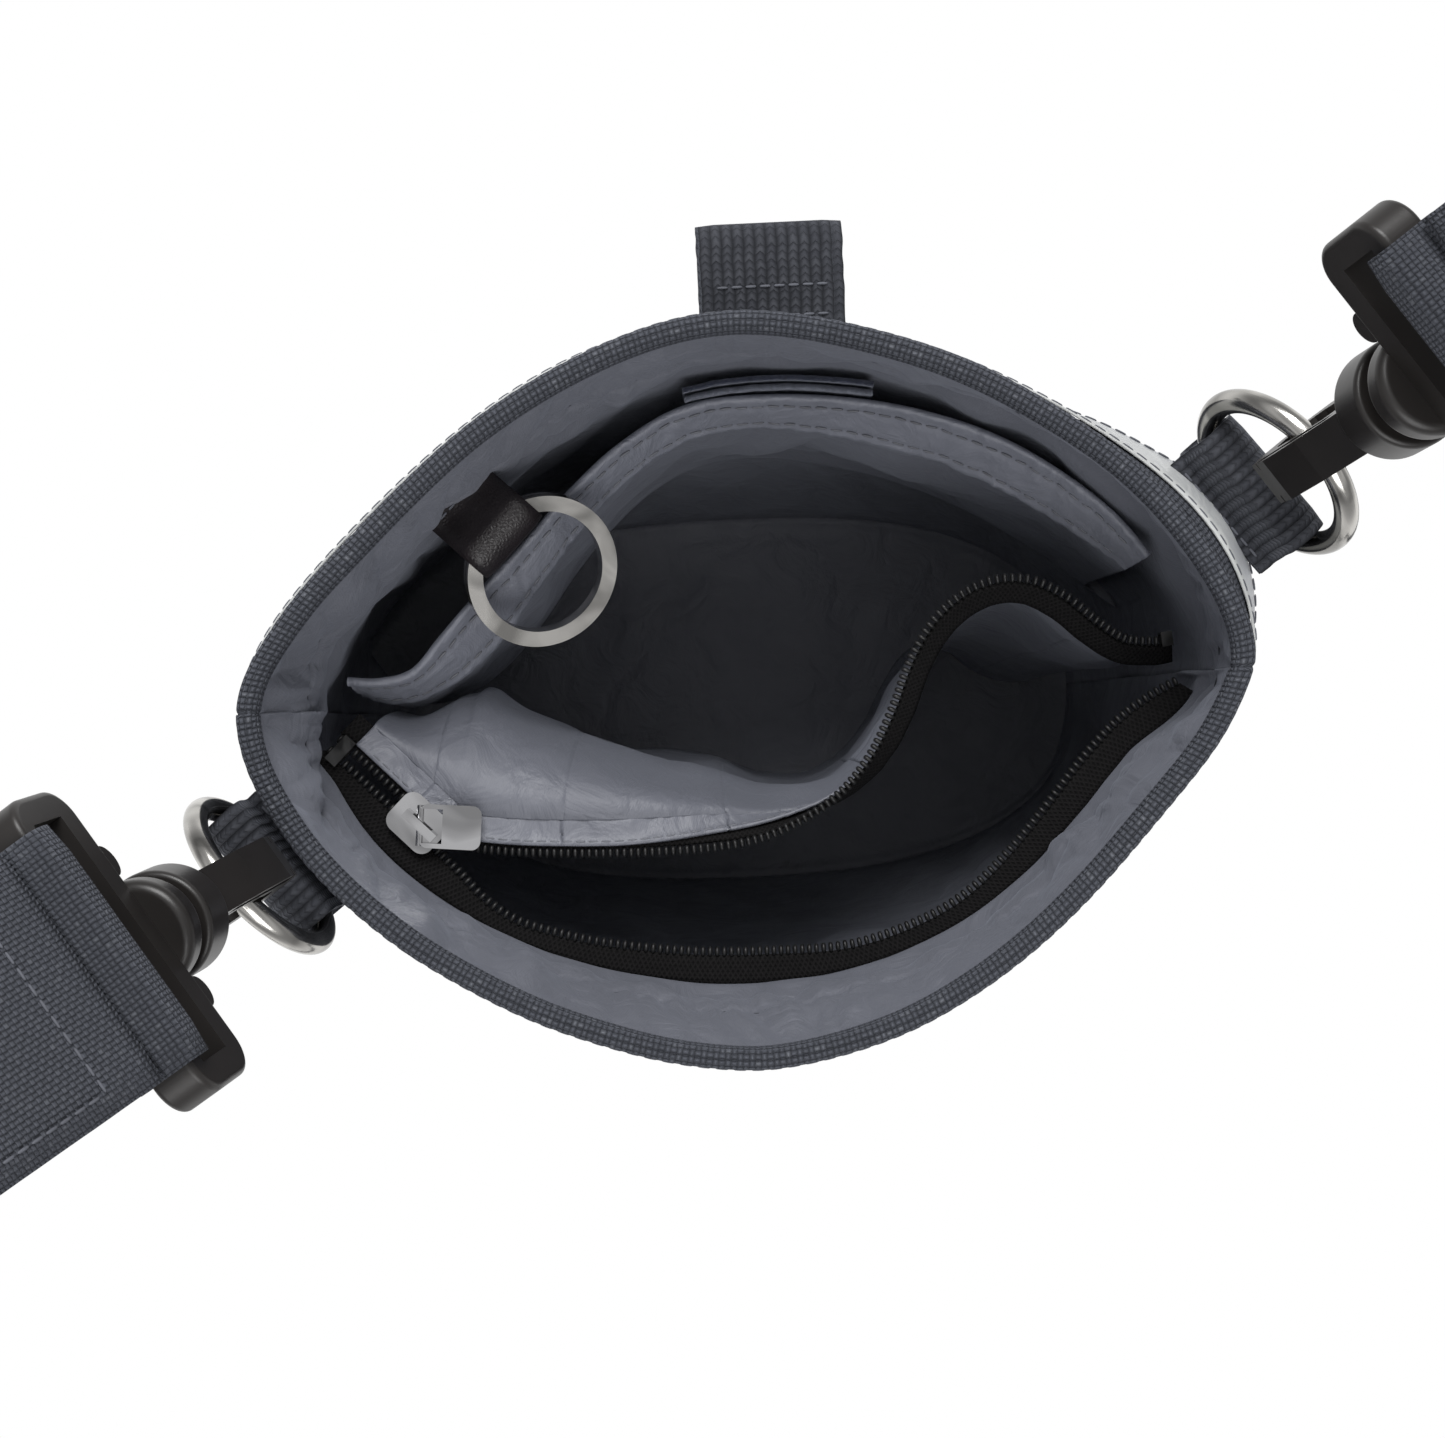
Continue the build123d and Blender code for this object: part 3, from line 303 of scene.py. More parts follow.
M = {
    "heather": heather("heather_cloth", (0.014, 0.016, 0.023), (0.066, 0.071, 0.088), (0.21, 0.22, 0.245)),
    "nylon": nylon("lining_nylon", (0.140, 0.146, 0.172)),
    "facing": nylon("facing_nylon", (0.160, 0.166, 0.194), 0.42, 1.3),
    "webbing": ribbed("webbing", (0.018, 0.020, 0.026), (0.030, 0.032, 0.040), (0.092, 0.096, 0.110), 1.85 * MM, 1.3 * MM),
    "strap": heather("strap_weave", (0.020, 0.022, 0.029), (0.052, 0.056, 0.069), (0.14, 0.147, 0.165), 0.8, 0.8),
    "reflective": nylon("reflective_cloth", (0.60, 0.61, 0.60), 0.4),
    "tape": tape_cloth("zip_tape", (0.0065, 0.006, 0.0062)),
    "coil": moulded("zip_coil", (0.012, 0.012, 0.012), 0.42),
    "plastic": moulded("clip_plastic", (0.0165, 0.0145, 0.0135)),
    "chrome": metal("slider_metal", (0.62, 0.62, 0.63), 0.09, 0.2, 0.5, 60),
    # painted shade: a near-black metal for the zip stops, which lie in shade under the facing
    "stop": metal("stop_metal_shaded", (0.07, 0.07, 0.07), 0.35),
    "nickel": metal("nickel_wire", (0.60, 0.585, 0.555), 0.16, 0.3, 0.45, 60),
    "leather": leathery("holder_leather", (0.012, 0.009, 0.010)),
    "pile": fuzzy("touch_tape", (0.010, 0.012, 0.024)),
    "steel": metal("spring_steel", (0.5, 0.5, 0.5), 0.3),
    "board": moulded("board", (0.15, 0.15, 0.15), 0.6),
    "thread": moulded("thread", (0.10, 0.105, 0.125), 0.7),
    "thread_dark": moulded("thread_dark", (0.030, 0.032, 0.040), 0.7),
    "thread_light": moulded("thread_light", (0.15, 0.155, 0.175), 0.65),
    # painted light: the slip pocket's hem band uses a lighter copy of the lining nylon, as if it caught more light than
    # the panel below
    "hem": nylon("hem_nylon_lit", (0.20, 0.208, 0.245), 0.46, 1.4),
    "hooks": fuzzy("hook_tape", (0.075, 0.08, 0.10)),
}
SLOT = {
    "heather_cloth": "heather", "lining_nylon": "nylon", "webbing": "webbing", "reflective_tape": "reflective",
    "zip_tape": "tape", "zip_coil": "coil", "slider_metal": "chrome", "nickel_wire": "nickel", "clip_plastic": "plastic",
    "holder_leather": "leather", "touch_tape": "pile", "spring_steel": "steel", "board": "board",
}
node_slot = {s["node"]: s["material_slot"] for s in frame["record"]["subparts"]}
for name, ob in NODES.items():
    ob.data.materials.clear()
    ob.data.materials.append(M[SLOT[node_slot[name]]])

# painted shade: the zip's end stops get the near-black metal so that they sink into the shade under the facing
for name in ("zip_end_stop", "zip_top_stop_rear"):
    NODES[name].data.materials.clear()
    NODES[name].data.materials.append(M["stop"])

# ------------------------------------------------------------------ body shape, mm
H = 160.0
SECTIONS = [
    (0.0, 74.0, 40.0, 2.6), (7.0, 79.0, 45.0, 2.5), (40.0, 84.0, 52.0, 2.3), (90.0, 87.0, 59.0, 2.1),
    (H - 30.0, 87.0, 62.5, 1.9), (H - 10.0, 85.5, 62.3, 1.76), (H, 84.5, 62.0, 1.7),
]
CLOTH, LINING = 1.1, 0.8
PULL_T, PULL_SPREAD, PULL_OUT = math.radians(24), math.radians(17), 6.0
FLATS = ((math.radians(143), math.radians(27), 5.2), (math.radians(328), math.radians(28), 6.2))


def section(z):
    s = SECTIONS
    if z <= s[0][0]:
        return s[0][1:]
    for a, b in zip(s, s[1:]):
        if z <= b[0]:
            f = (z - a[0]) / (b[0] - a[0])
            return tuple(a[k] + f * (b[k] - a[k]) for k in (1, 2, 3))
    return s[-1][1:]


def near(t, mid, spread):
    d = (t - mid + math.pi) % (2 * math.pi) - math.pi
    return math.exp(-((d / spread) ** 2))


def pull_out(t, z):
    up = min(1.0, max(0.0, (H - 3 - z) / 14.0)) * min(1.0, max(0.0, (z - 10) / 70.0))
    return PULL_OUT * near(t, PULL_T, PULL_SPREAD) * up


def flat_in(t, z):
    up = min(1.0, max(0.0, (z - 10) / 80.0))
    return up * sum(depth * near(t, mid, spread) for mid, spread, depth in FLATS)


def wall(t, z, off, pulled=True):
    """Point of the body wall at angle t, moved out by off."""
    a, b, n = section(z)

    def raw(t):
        c, s = math.cos(t), math.sin(t)
        return a * math.copysign(abs(c) ** (2 / n), c), b * math.copysign(abs(s) ** (2 / n), s)

    x, y = raw(t)
    x0, y0 = raw(t - 0.004)
    x1, y1 = raw(t + 0.004)
    m = math.hypot(x1 - x0, y1 - y0)
    d = off - flat_in(t, z) + (pull_out(t, z) if pulled else 0.0)
    return x + (y1 - y0) / m * d, y - (x1 - x0) / m * d


def lerp(a, b, f):
    return a + (b - a) * f


def ease(f):
    f = min(1.0, max(0.0, f))
    return f * f * (3 - 2 * f)


def curve_at(stops, z):
    """Value at z of a list of (z, value), which may run either way."""
    s = sorted(stops)
    if z <= s[0][0]:
        return s[0][1]
    for a, b in zip(s, s[1:]):
        if z <= b[0]:
            return lerp(a[1], b[1], (z - a[0]) / (b[0] - a[0]))
    return s[-1][1]


def nz(x, y=0.0, z=0.0):
    return noise.noise(Vector((x, y, z)))


def fold(x, y=0.0, z=0.0):
    """Creases: round lands with sharp valleys, -1 to 1."""
    return 1.0 - 3.2 * abs(nz(x, y, z))


# ------------------------------------------------------------------ mesh helpers


def piece(name, verts, faces, mat, body="pouch", repl=(), uv=None, smooth=True):
    me = bpy.data.meshes.new(name)
    me.from_pydata([scaled(v, MM) for v in verts], [], faces)
    if uv is not None:
        lay = me.uv_layers.new(name="UVMap")
        for p in me.polygons:
            for li, vi in zip(p.loop_indices, p.vertices):
                lay.data[li].uv = uv[vi]
    me.validate()
    for p in me.polygons:
        p.use_smooth = smooth
    ob = bpy.data.objects.new(name, me)
    bpy.context.scene.collection.objects.link(ob)
    me.materials.append(M[mat])
    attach(ob, body)
    if repl:
        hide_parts(*repl)
    return ob


def dist(a, b):
    return math.sqrt(sum((p - q) ** 2 for p, q in zip(a, b)))


def grid(rows, wrap_u=False):
    """rows[i][j] -> verts, faces, uv in metres along i and j."""
    nu, nv = len(rows), len(rows[0])
    mid = nv // 2
    us = [0.0]
    for a, b in zip(rows, rows[1:]):
        us.append(us[-1] + dist(a[mid], b[mid]) * MM)
    verts, uv = [], []
    for i, r in enumerate(rows):
        v = 0.0
        for j, p in enumerate(r):
            if j:
                v += dist(p, r[j - 1]) * MM
            verts.append(p)
            uv.append((us[i], v))
    faces = []
    for i in range(nu - (0 if wrap_u else 1)):
        a, b = i, (i + 1) % nu
        for j in range(nv - 1):
            faces.append((a * nv + j, b * nv + j, b * nv + j + 1, a * nv + j + 1))
    return verts, faces, uv


def area_of(rows):
    """Width, length and area of the cloth, in metres."""
    nu, nv = len(rows), len(rows[0])
    wide = max(sum(dist(rows[i][j], rows[i + 1][j]) for i in range(nu - 1)) for j in (0, nv // 2, nv - 1))
    long = max(sum(dist(r[j], r[j + 1]) for j in range(nv - 1)) for r in (rows[nu // 8], rows[nu // 2], rows[-nu // 8]))
    total = 0.0
    for i in range(nu - 1):
        for j in range(nv - 1):
            a, b, c, d = (Vector(p) for p in (rows[i][j], rows[i + 1][j], rows[i + 1][j + 1], rows[i][j + 1]))
            total += ((b - a).cross(c - a).length + (c - a).cross(d - a).length) / 2
    return wide * MM, long * MM, total * MM * MM


LEAST_FLAT = 0.0101


def declare(rows, share=1.0):
    w, l, a = area_of(rows)
    w, l = max(w, LEAST_FLAT), max(l * share, LEAST_FLAT)


def sheet(name, fn, nu, nv, thick, mat, repl=(), held=None, flip=False, offset=0.0):
    rows = [[fn(i / nu, j / nv) for j in range(nv + 1)] for i in range(nu + 1)]
    if flip:
        rows = [r[::-1] for r in rows]
    v, f, uv = grid(rows)
    ob = piece(name, v, f, mat, "pouch", repl, uv)
    s = ob.modifiers.new("thickness", "SOLIDIFY")
    s.thickness = thick * MM
    s.offset = offset
    s.use_even_offset = False
    if held:
        declare(rows)
    return ob


def catmull(points, n):
    """Smooth even samples through points."""
    out = []
    P = [points[0]] + list(points) + [points[-1]]
    for i in range(1, len(P) - 2):
        p0, p1, p2, p3 = P[i - 1], P[i], P[i + 1], P[i + 2]
        for k in range(24):
            t = k / 24
            out.append(tuple(
                0.5 * (2 * b + (c - a) * t + (2 * a - 5 * b + 4 * c - d) * t * t + (3 * b - a - 3 * c + d) * t ** 3)
                for a, b, c, d in zip(p0, p1, p2, p3)
            ))
    out.append(tuple(points[-1]))
    acc = [0.0]
    for a, b in zip(out, out[1:]):
        acc.append(acc[-1] + dist(a, b))
    res, j = [], 0
    for k in range(n + 1):
        s = acc[-1] * k / n
        while j < len(acc) - 2 and acc[j + 1] < s:
            j += 1
        f = (s - acc[j]) / max(1e-9, acc[j + 1] - acc[j])
        res.append(tuple(lerp(p, q, f) for p, q in zip(out[j], out[j + 1])))
    return res, acc[-1]


def side(points, k):
    a, b = points[max(0, k - 1)], points[min(len(points) - 1, k + 1)]
    m = math.hypot(b[0] - a[0], b[1] - a[1])
    return -(b[1] - a[1]) / m, (b[0] - a[0]) / m


def strip(name, rows, thick, mat, repl=(), body="pouch", round_=0.6, held=None):
    """Webbing or band: rows of (centre, width direction, normal, width), with rounded edges."""
    verts, uv, prof = [], [], []
    for k in range(9):
        f = -1 + k / 4
        prof.append((f, 1.0 if abs(f) < 0.9 else round_))
    us = 0.0
    n = len(prof) * 2
    last = None
    flat = []
    for c, w, nn, width in rows:
        c, w, nn = Vector(c), Vector(w).normalized(), Vector(nn).normalized()
        if last is not None:
            us += (c - last).length * MM
        last = c
        flat.append([tuple(c - w * width / 2), tuple(c), tuple(c + w * width / 2)])
        for sgn in (1, -1):
            for f, h in (prof if sgn > 0 else prof[::-1]):
                verts.append(tuple(c + w * (f * width / 2) + nn * (sgn * h * thick / 2)))
                uv.append((us, (f + 1) / 2 * width * MM))
    faces = []
    m = len(rows)
    for i in range(m - 1):
        for j in range(n):
            a, b = i * n + j, i * n + (j + 1) % n
            faces.append((a, b, b + n, a + n))
    faces.append(tuple(range(n - 1, -1, -1)))
    faces.append(tuple((m - 1) * n + j for j in range(n)))
    ob = piece(name, verts, faces, mat, body, repl, uv)
    if held:
        declare(flat)
    return ob


def tube(name, path, radius, mat, body="pouch", seg=8, closed=False):
    verts, faces, uv = [], [], []
    n = len(path)
    s = 0.0
    for k, p in enumerate(path):
        a, b = Vector(path[(k - 1) % n]), Vector(path[(k + 1) % n])
        t = (b - a).normalized()
        x = t.cross(Vector((0, 0, 1))).normalized()
        y = x.cross(t)
        s += dist(p, path[k - 1]) * MM if k else 0.0
        for j in range(seg):
            w = 2 * math.pi * j / seg
            verts.append(tuple(Vector(p) + x * math.cos(w) * radius + y * math.sin(w) * radius))
            uv.append((s, w * radius * MM))
    for k in range(n if closed else n - 1):
        for j in range(seg):
            a, b = k * seg, ((k + 1) % n) * seg
            faces.append((a + j, a + (j + 1) % seg, b + (j + 1) % seg, b + j))
    return piece(name, verts, faces, mat, body, (), uv)


def stitches(name, path, pitch=3.2, length=2.3, r=0.32, mat="thread", body="pouch"):
    """Rows of thread along 3-D paths, each stitch a small pill."""
    verts, faces = [], []
    for line in (path if isinstance(path[0], list) else [path]):
        acc = [0.0]
        for a, b in zip(line, line[1:]):
            acc.append(acc[-1] + dist(a, b))
        j = 0

        def at(s):
            nonlocal j
            while j > 0 and acc[j] > s:
                j -= 1
            while j < len(acc) - 2 and acc[j + 1] < s:
                j += 1
            f = (s - acc[j]) / max(1e-9, acc[j + 1] - acc[j])
            return Vector([lerp(p, q, f) for p, q in zip(line[j], line[j + 1])])

        s = pitch / 2
        while s + length < acc[-1]:
            a, b = at(s), at(s + length)
            t = (b - a).normalized()
            x = t.cross(Vector((0, 0, 1)))
            x = x.normalized() if x.length > 0.05 else Vector((1, 0, 0))
            y = x.cross(t)
            base = len(verts)
            for f, k in ((0.0, 0.35), (0.12, 0.85), (0.5, 1.0), (0.88, 0.85), (1.0, 0.35)):
                c = a.lerp(b, f)
                for w in range(6):
                    g = math.pi * w / 3
                    verts.append(tuple(c + x * math.cos(g) * r * k + y * math.sin(g) * r * k))
            for q in range(4):
                for w in range(6):
                    i0 = base + q * 6
                    faces.append((i0 + w, i0 + (w + 1) % 6, i0 + 6 + (w + 1) % 6, i0 + 6 + w))
            faces.append(tuple(base + w for w in range(5, -1, -1)))
            faces.append(tuple(base + 24 + w for w in range(6)))
            s += pitch
    return piece(name, verts, faces, mat, body)


# ------------------------------------------------------------------ outer cloth
BACK = (0.0, math.pi)
FRONT = (math.pi, 2 * math.pi)
ENDS = (("front", FRONT), ("back", BACK))


def seam(t, wide=0.02):
    """1 at the two side seams, 0 away from them."""
    return max(near(t, 0.0, wide), near(t, math.pi, wide))


def body_relief(t, z):
    """Soft dents of a standing cloth bag."""
    edge = ease(z / 20.0) * ease((H - 6 - z) / 24.0)
    a = (
        2.2 * nz(3 * math.cos(t), 3 * math.sin(t), z / 46.0)
        + 1.0 * nz(7 * math.cos(t), 7 * math.sin(t), z / 24.0 + 5)
    )
    return edge * a - 0.7 * seam(t)


def outer(t0, t1):
    def fn(u, v):
        t = lerp(t0, t1, u)
        z = lerp(1.6, H - 4.6, v)
        x, y = wall(t, z, -CLOTH / 2 - 0.05 + body_relief(t, z))
        return x, y, z
    return fn


for end, span in ENDS:
    sheet(
        f"outer_{end}_cloth", outer(*span), 180, 60, CLOTH, "heather",
        [f"outer_{end}"], "stretched",
    )


def light_strip(u, v):
    t = lerp(BACK[0] + 0.06, BACK[1] - 0.06, u)
    z = lerp(H - 17.8, H - 6.8, v)
    x, y = wall(t, z, 0.62 + body_relief(t, z))
    return x, y, z


sheet(
    "light_strip", light_strip, 160, 4, 0.45, "reflective", ["reflective_strip"],
    "stretched",
)


def base_cloth(u, v):
    t = lerp(0.01, math.pi - 0.01, u)
    (x0, y0), (x1, y1) = wall(t, 0.0, -0.3, False), wall(-t, 0.0, -0.3, False)
    return lerp(x0, x1, v), lerp(y0, y1, v), 0.6 + 1.3 * ease((abs(v - 0.5) - 0.465) / 0.035)


sheet("base_cloth", base_cloth, 90, 50, 0.9, "heather", ["base_panel"], "stretched")

def around(z, off, n=420):
    out = []
    for k in range(n + 1):
        t = 2 * math.pi * k / n
        out.append((*wall(t, z, off + body_relief(t, z)), z))
    return out


tube("base_welt", around(2.6, 0.15)[:-1], 0.85, "heather", seg=8, closed=True)
strip_ts = [lerp(0.07, math.pi - 0.07, k / 300) for k in range(301)]
stitches(
    "light_strip_thread",
    [[(*wall(t, z, 0.62 + 0.3 + body_relief(t, z)), z) for t in strip_ts] for z in (H - 16.9, H - 7.6)],
    2.8, 2.1, 0.18, "thread",
)

# ------------------------------------------------------------------ rim binding


def rim_line(t):
    """Small unevenness of the bound edge."""
    return 0.35 * nz(4 * math.cos(t), 4 * math.sin(t), 2.0), 0.5 * nz(3 * math.cos(t), 3 * math.sin(t), 9.0)


def binding(name, t0, t1, node):
    rows, flat = [], []
    n = 280
    for i in range(n + 1):
        t = lerp(t0, t1, i / n)
        dr, dz = rim_line(t)
        nip = 1.0 - 0.16 * seam(t, 0.012)
        row = []
        for j in range(21):
            w = 2 * math.pi * j / 20 + math.pi / 2
            c, s = math.cos(w), math.sin(w)
            off = -1.15 + dr + 1.95 * nip * math.copysign(abs(c) ** 0.8, c)
            z = H - 2.9 + dz * 0.5 + 2.7 * math.copysign(abs(s) ** 0.85, s) * nip
            x, y = wall(t, H, off, False)
            row.append((x, y, z))
        rows.append(row)
        flat.append(row[:11])
    v, f, uv = grid(rows)
    for i in (0, n):
        f.append(tuple(i * 21 + j for j in (range(20) if i else range(19, -1, -1))))
    ob = piece(name, v, f, "heather", "pouch", [node], uv)
    declare(rows)


rim_ts = [2 * math.pi * k / 500 for k in range(501)]
stitches(
    "binding_thread", [(*wall(t, H, 0.86 + rim_line(t)[0], False), H - 3.2) for t in rim_ts],
    3.0, 2.1, 0.17, "thread",
)
binding("binding_front", *FRONT, "rim_binding_front")
binding("binding_back", *BACK, "rim_binding_back")

# ------------------------------------------------------------------ facing and lining
HEM_Z, HEM_OFF, HEM_NEAR, FACE_OFF = H - 30.5, -8.6, -2.8, -2.2


def hem_off(t):
    """How far in the facing's stitched hem stands at angle t."""
    t = math.degrees(t) % 360
    if t < 180:
        return HEM_NEAR + (HEM_OFF - 1.0 - HEM_NEAR) * ease((t - 88) / 36)
    return HEM_OFF - ease((200 - t) / 20) + (HEM_NEAR - HEM_OFF) * ease((t - 336) / 22)


def face_off(t, z):
    f = curve_at([(H - 5.6, 0.0), (H - 14.0, 0.38), (H - 23.0, 0.78), (HEM_Z, 1.0)], z)
    return lerp(FACE_OFF, hem_off(t), f) - LINING / 2


STITCH_V = 0.70


def facing_off(t, v, seed):
    px, py = 84 * math.cos(t), 62 * math.sin(t)
    if v < 0.88:
        z = lerp(H - 4.2, HEM_Z + 0.7, v / 0.88)
        off = face_off(t, z)
    else:
        w = (v - 0.88) / 0.12 * math.pi
        z = HEM_Z + 0.7 - 1.5 * math.sin(w)
        off = face_off(t, HEM_Z) + 0.75 * (1 - math.cos(w))
    room = ease(-(hem_off(t) + 2.0) / 5.0) * 0.75 + 0.25
    mid = ease((v - 0.05) / 0.3)
    drape = (
        1.9 * nz(px / 24.0 + v * 0.5, py / 24.0, seed + v * 0.4)
        + 0.9 * fold(px / 13.0 + v * 0.8, py / 13.0, seed + 3 + v * 0.8)
    )
    near_hem = math.exp(-(((v - 0.72) / 0.16) ** 2))
    puck = (
        fold(px / 4.6 + 0.5 * v, py / 4.6, seed + 7) * near_hem
        + 0.6 * nz(px / 2.4, py / 2.4, seed + 17) * near_hem
    )
    crease = 0.75 * fold(px / 7.5 + 0.9 * v, py / 7.5, seed + 21 + 1.6 * v) * ease(v / 0.12)
    sewn = 0.8 * math.exp(-(((v - STITCH_V) / 0.022) ** 2))
    off += mid * room * (1.0 * drape - 0.6) + (0.5 * puck + crease) * (0.45 + 0.55 * room) + sewn
    z += (0.8 * nz(px / 9.0, py / 9.0, seed + 11) + 0.35 * puck) * ease((v - 0.55) / 0.4)
    return min(off - 0.5 * seam(t, 0.018) * mid, -2.35), z


def facing_point(t, v, seed, lift=0.0):
    off, z = facing_off(t, v, seed)
    x, y = wall(t, min(z, H - 4.2), off - lift, False)
    return x, y, z


def facing(t0, t1, seed):
    return lambda u, v: facing_point(lerp(t0, t1, u), v, seed)


FACING_SEED = {"front": 1.0, "back": 31.0}
for end, span in ENDS:
    sheet(
        f"facing_{end}_cloth", facing(*span, FACING_SEED[end]), 420, 30, 0.5, "facing",
        [f"facing_{end}"], "folded",
    )
for end, (t0, t1) in ENDS:
    seed = FACING_SEED[end]
    stitches(
        f"facing_{end}_thread",
        [facing_point(lerp(t0, t1, k / 500), STITCH_V, seed, 0.32) for k in range(4, 497)], 2.7, 2.1, 0.19,
        "thread_dark",
    )


def zip_off(t):
    """Lining offset at the height of the zip."""
    t = math.degrees(t) % 360
    return HEM_OFF - 0.9 + 3.2 * ease((198 - t) / 14) + 5.6 * ease((t - 338) / 20)


ZIP_Z = H - 35.0
LOW = [(70.0, -4.4), (30.0, -3.6), (5.4, -3.6)]


def lining_off(t, z, front):
    hem = hem_off(t) - LINING / 2
    if front:
        sewn = zip_off(t) - 0.4
        below = lerp(FACE_OFF, hem_off(t), 0.6) - 1.0
        upper = [(H, hem), (HEM_Z - 0.4, hem), (ZIP_Z + 1.0, sewn), (ZIP_Z - 2.0, sewn), (HEM_Z - 24.5, below)]
        return curve_at(upper + LOW, z)
    return curve_at([(H, hem), (HEM_Z - 0.4, hem), (HEM_Z - 24.5, lerp(FACE_OFF, hem_off(t), 0.5) - 1.4)] + LOW, z)


def lining(t0, t1, seed, front):
    def fn(u, v):
        t = lerp(t0, t1, u)
        z = lerp(HEM_Z + 1.2, 4.6, v)
        hung, _ = facing_off(t, 0.86, 1.0 if front else 31.0)
        px, py = 84 * math.cos(t), 62 * math.sin(t)
        amp = ease((z - 5) / 22.0) * ease((HEM_Z + 3 - z) / 10.0)
        if front:
            amp *= 1 - 0.85 * math.exp(-(((z - ZIP_Z) / 7.0) ** 2))
        wave = (
            1.9 * nz(px / 26.0, py / 26.0, seed + z / 60.0)
            + 1.1 * fold(px / 15.0, py / 15.0, seed + z / 30.0)
            + 0.4 * nz(px / 7.0, py / 7.0, seed + z / 14.0)
        )
        off = min(lining_off(t, z, front) + amp * (0.8 * wave - 1.0), -2.4)
        off = lerp(hung + 0.35, off, ease((HEM_Z + 0.5 - z) / 3.4))
        x, y = wall(t, z, off, False)
        return x, y, z
    return fn


for (end, span), seed in zip(ENDS, (4.0, 14.0)):
    sheet(
        f"lining_{end}_cloth", lining(*span, seed, end == "front"), 200, 70, 0.5, "nylon",
        [f"lining_{end}"], "hung",
    )


def floor_cloth(u, v):
    t = lerp(0.03, math.pi - 0.03, u)
    (x0, y0), (x1, y1) = wall(t, 4.8, -2.8, False), wall(-t, 4.8, -2.8, False)
    x, y = lerp(x0, x1, v), lerp(y0, y1, v)
    lip = ease((abs(v - 0.5) - 0.47) / 0.03)
    return x, y, 5.0 + 0.5 * nz(x / 18.0, y / 18.0, 60.0) + 0.25 * fold(x / 24.0, y / 24.0, 66.0) + 1.4 * lip


sheet("floor_cloth", floor_cloth, 90, 50, 0.5, "nylon", ["lining_floor"], "laid")

# ------------------------------------------------------------------ zip pocket
C0, C1 = (-74.0, -5.4), (-56.4, -23.4)
cl = math.hypot(C1[0] - C0[0], C1[1] - C0[1])
CD = ((C1[0] - C0[0]) / cl, (C1[1] - C0[1]) / cl)
joined = [(C0[0] + CD[0] * s, C0[1] + CD[1] * s) for s in (0, 7, 14, 20, cl)]
REAR = joined + [
    (-51.5, -26.2), (-44, -27.6), (-34, -28.4), (-21, -28.9), (-9, -28.8), (1, -27.6), (9.5, -24.4), (17, -19.6), (23, -12.6), (27.5, -4),
    (31, 4.2), (36, 11.4), (43, 16), (50.5, 16.6), (57, 13.4), (62.5, 8.6), (67.5, 5.2), (73, 4.4), (76.5, 4.8)]
FRONTE = joined + [
    (-51.4, -28.8), (-47.2, -33.6), (-42, -37.4), (-35.4, -39.8), (-26, -42.2), (-12, -44.2), (2, -44.8), (16, -44.4), (27.5, -41.2),
    (36.2, -36.8), (43.6, -30.4), (50.4, -23), (58, -14), (65, -7), (71.5, -2.6), (76.5, -0.2)]
NS = 320
rear, rear_len = catmull(REAR, NS)
front, front_len = catmull(FRONTE, NS)
COIL_IN, COIL_W, COIL_H = 0.5, 1.7, 2.2
TAPE_W, TAPE_T = 4.6, 0.7
RIM = [(wall(2 * math.pi * k / 720, ZIP_Z, 0.0, False), 2 * math.pi * k / 720) for k in range(720)]


def front_tape(u, v):
    k = round(u * NS)
    nx, ny = side(front, k)
    x, y = front[k]
    x, y = x - nx * 2.0, y - ny * 2.0
    t = min(RIM, key=lambda p: (p[0][0] - x) ** 2 + (p[0][1] - y) ** 2)[1]
    wx, wy = wall(t, ZIP_Z, zip_off(t) - 0.7, False)
    return lerp(x, wx, v), lerp(y, wy, v), ZIP_Z + 0.1 + 0.5 * nz(x / 11, y / 11, 3) * v + 0.25 * v


sheet(
    "zip_tape_front_cloth", front_tape, NS, 5, 0.6, "tape", ["zip_tape_front"], "stretched",
)


def turn(f):
    """Direction of the rear tape from its coil, degrees: 0 is flat to the rear, -90 is straight down."""
    return -4.0 - 128.0 * ease((f - 0.30) / 0.36)


def tape_frame(k):
    x, y = rear[k]
    nx, ny = side(rear, k)
    a = math.radians(turn(k / NS))
    ca, sa = math.cos(a), math.sin(a)
    c = COIL_IN + COIL_W / 2
    start = COIL_W / 2 * abs(ca) + COIL_H / 2 * abs(sa) + 0.12
    return Vector((x + nx * c, y + ny * c, ZIP_Z)), Vector((nx * ca, ny * ca, sa)), Vector((-nx * sa, -ny * sa, ca)), start


HEM_LIFT = TAPE_T / 2 + 0.1 + LINING / 2


def on_tape(k, d, lift):
    c, a, f, s = tape_frame(k)
    return c + a * (s + d) + f * lift


def rear_tape(u, v):
    k = round(u * NS)
    return tuple(on_tape(k, lerp(-0.3, TAPE_W, v), 0.12 * nz(u * 60, v, 3)))


sheet(
    "zip_tape_rear_cloth", rear_tape, NS, 5, 0.6, "tape", ["zip_tape_rear"], "stretched",
)


def edge_at(f):
    """Where the panel cloth's edge lies on the tape: beside the coil at the shut end, further off where the zip is open."""
    return lerp(0.15, 1.9, ease((f - 0.30) / 0.25))


def panel_hem(u, v):
    k = round(lerp(6, NS, u))
    wob = 0.35 * nz(u * 90, v * 0.7, 5.0) + 0.25 * fold(u * 46, v, 6.0)
    # the cloth's cut edge is turned under along the tape
    d = lerp(edge_at(k / NS), TAPE_W + 0.5, v)
    roll = 0.45 * math.exp(-((v / 0.22) ** 2))
    return tuple(on_tape(k, d, HEM_LIFT + roll - 0.1 + wob * v * 0.6 + 0.1 * wob))


sheet(
    "zip_panel_edge", panel_hem, NS, 8, 0.6, "facing", ["zip_panel_hem"], "folded",
)
stitches(
    "zip_panel_thread", [tuple(on_tape(k, edge_at(k / NS) + 0.8, HEM_LIFT + 0.5)) for k in range(10, NS)], 2.3,
    1.7, 0.16, "thread_light",
)


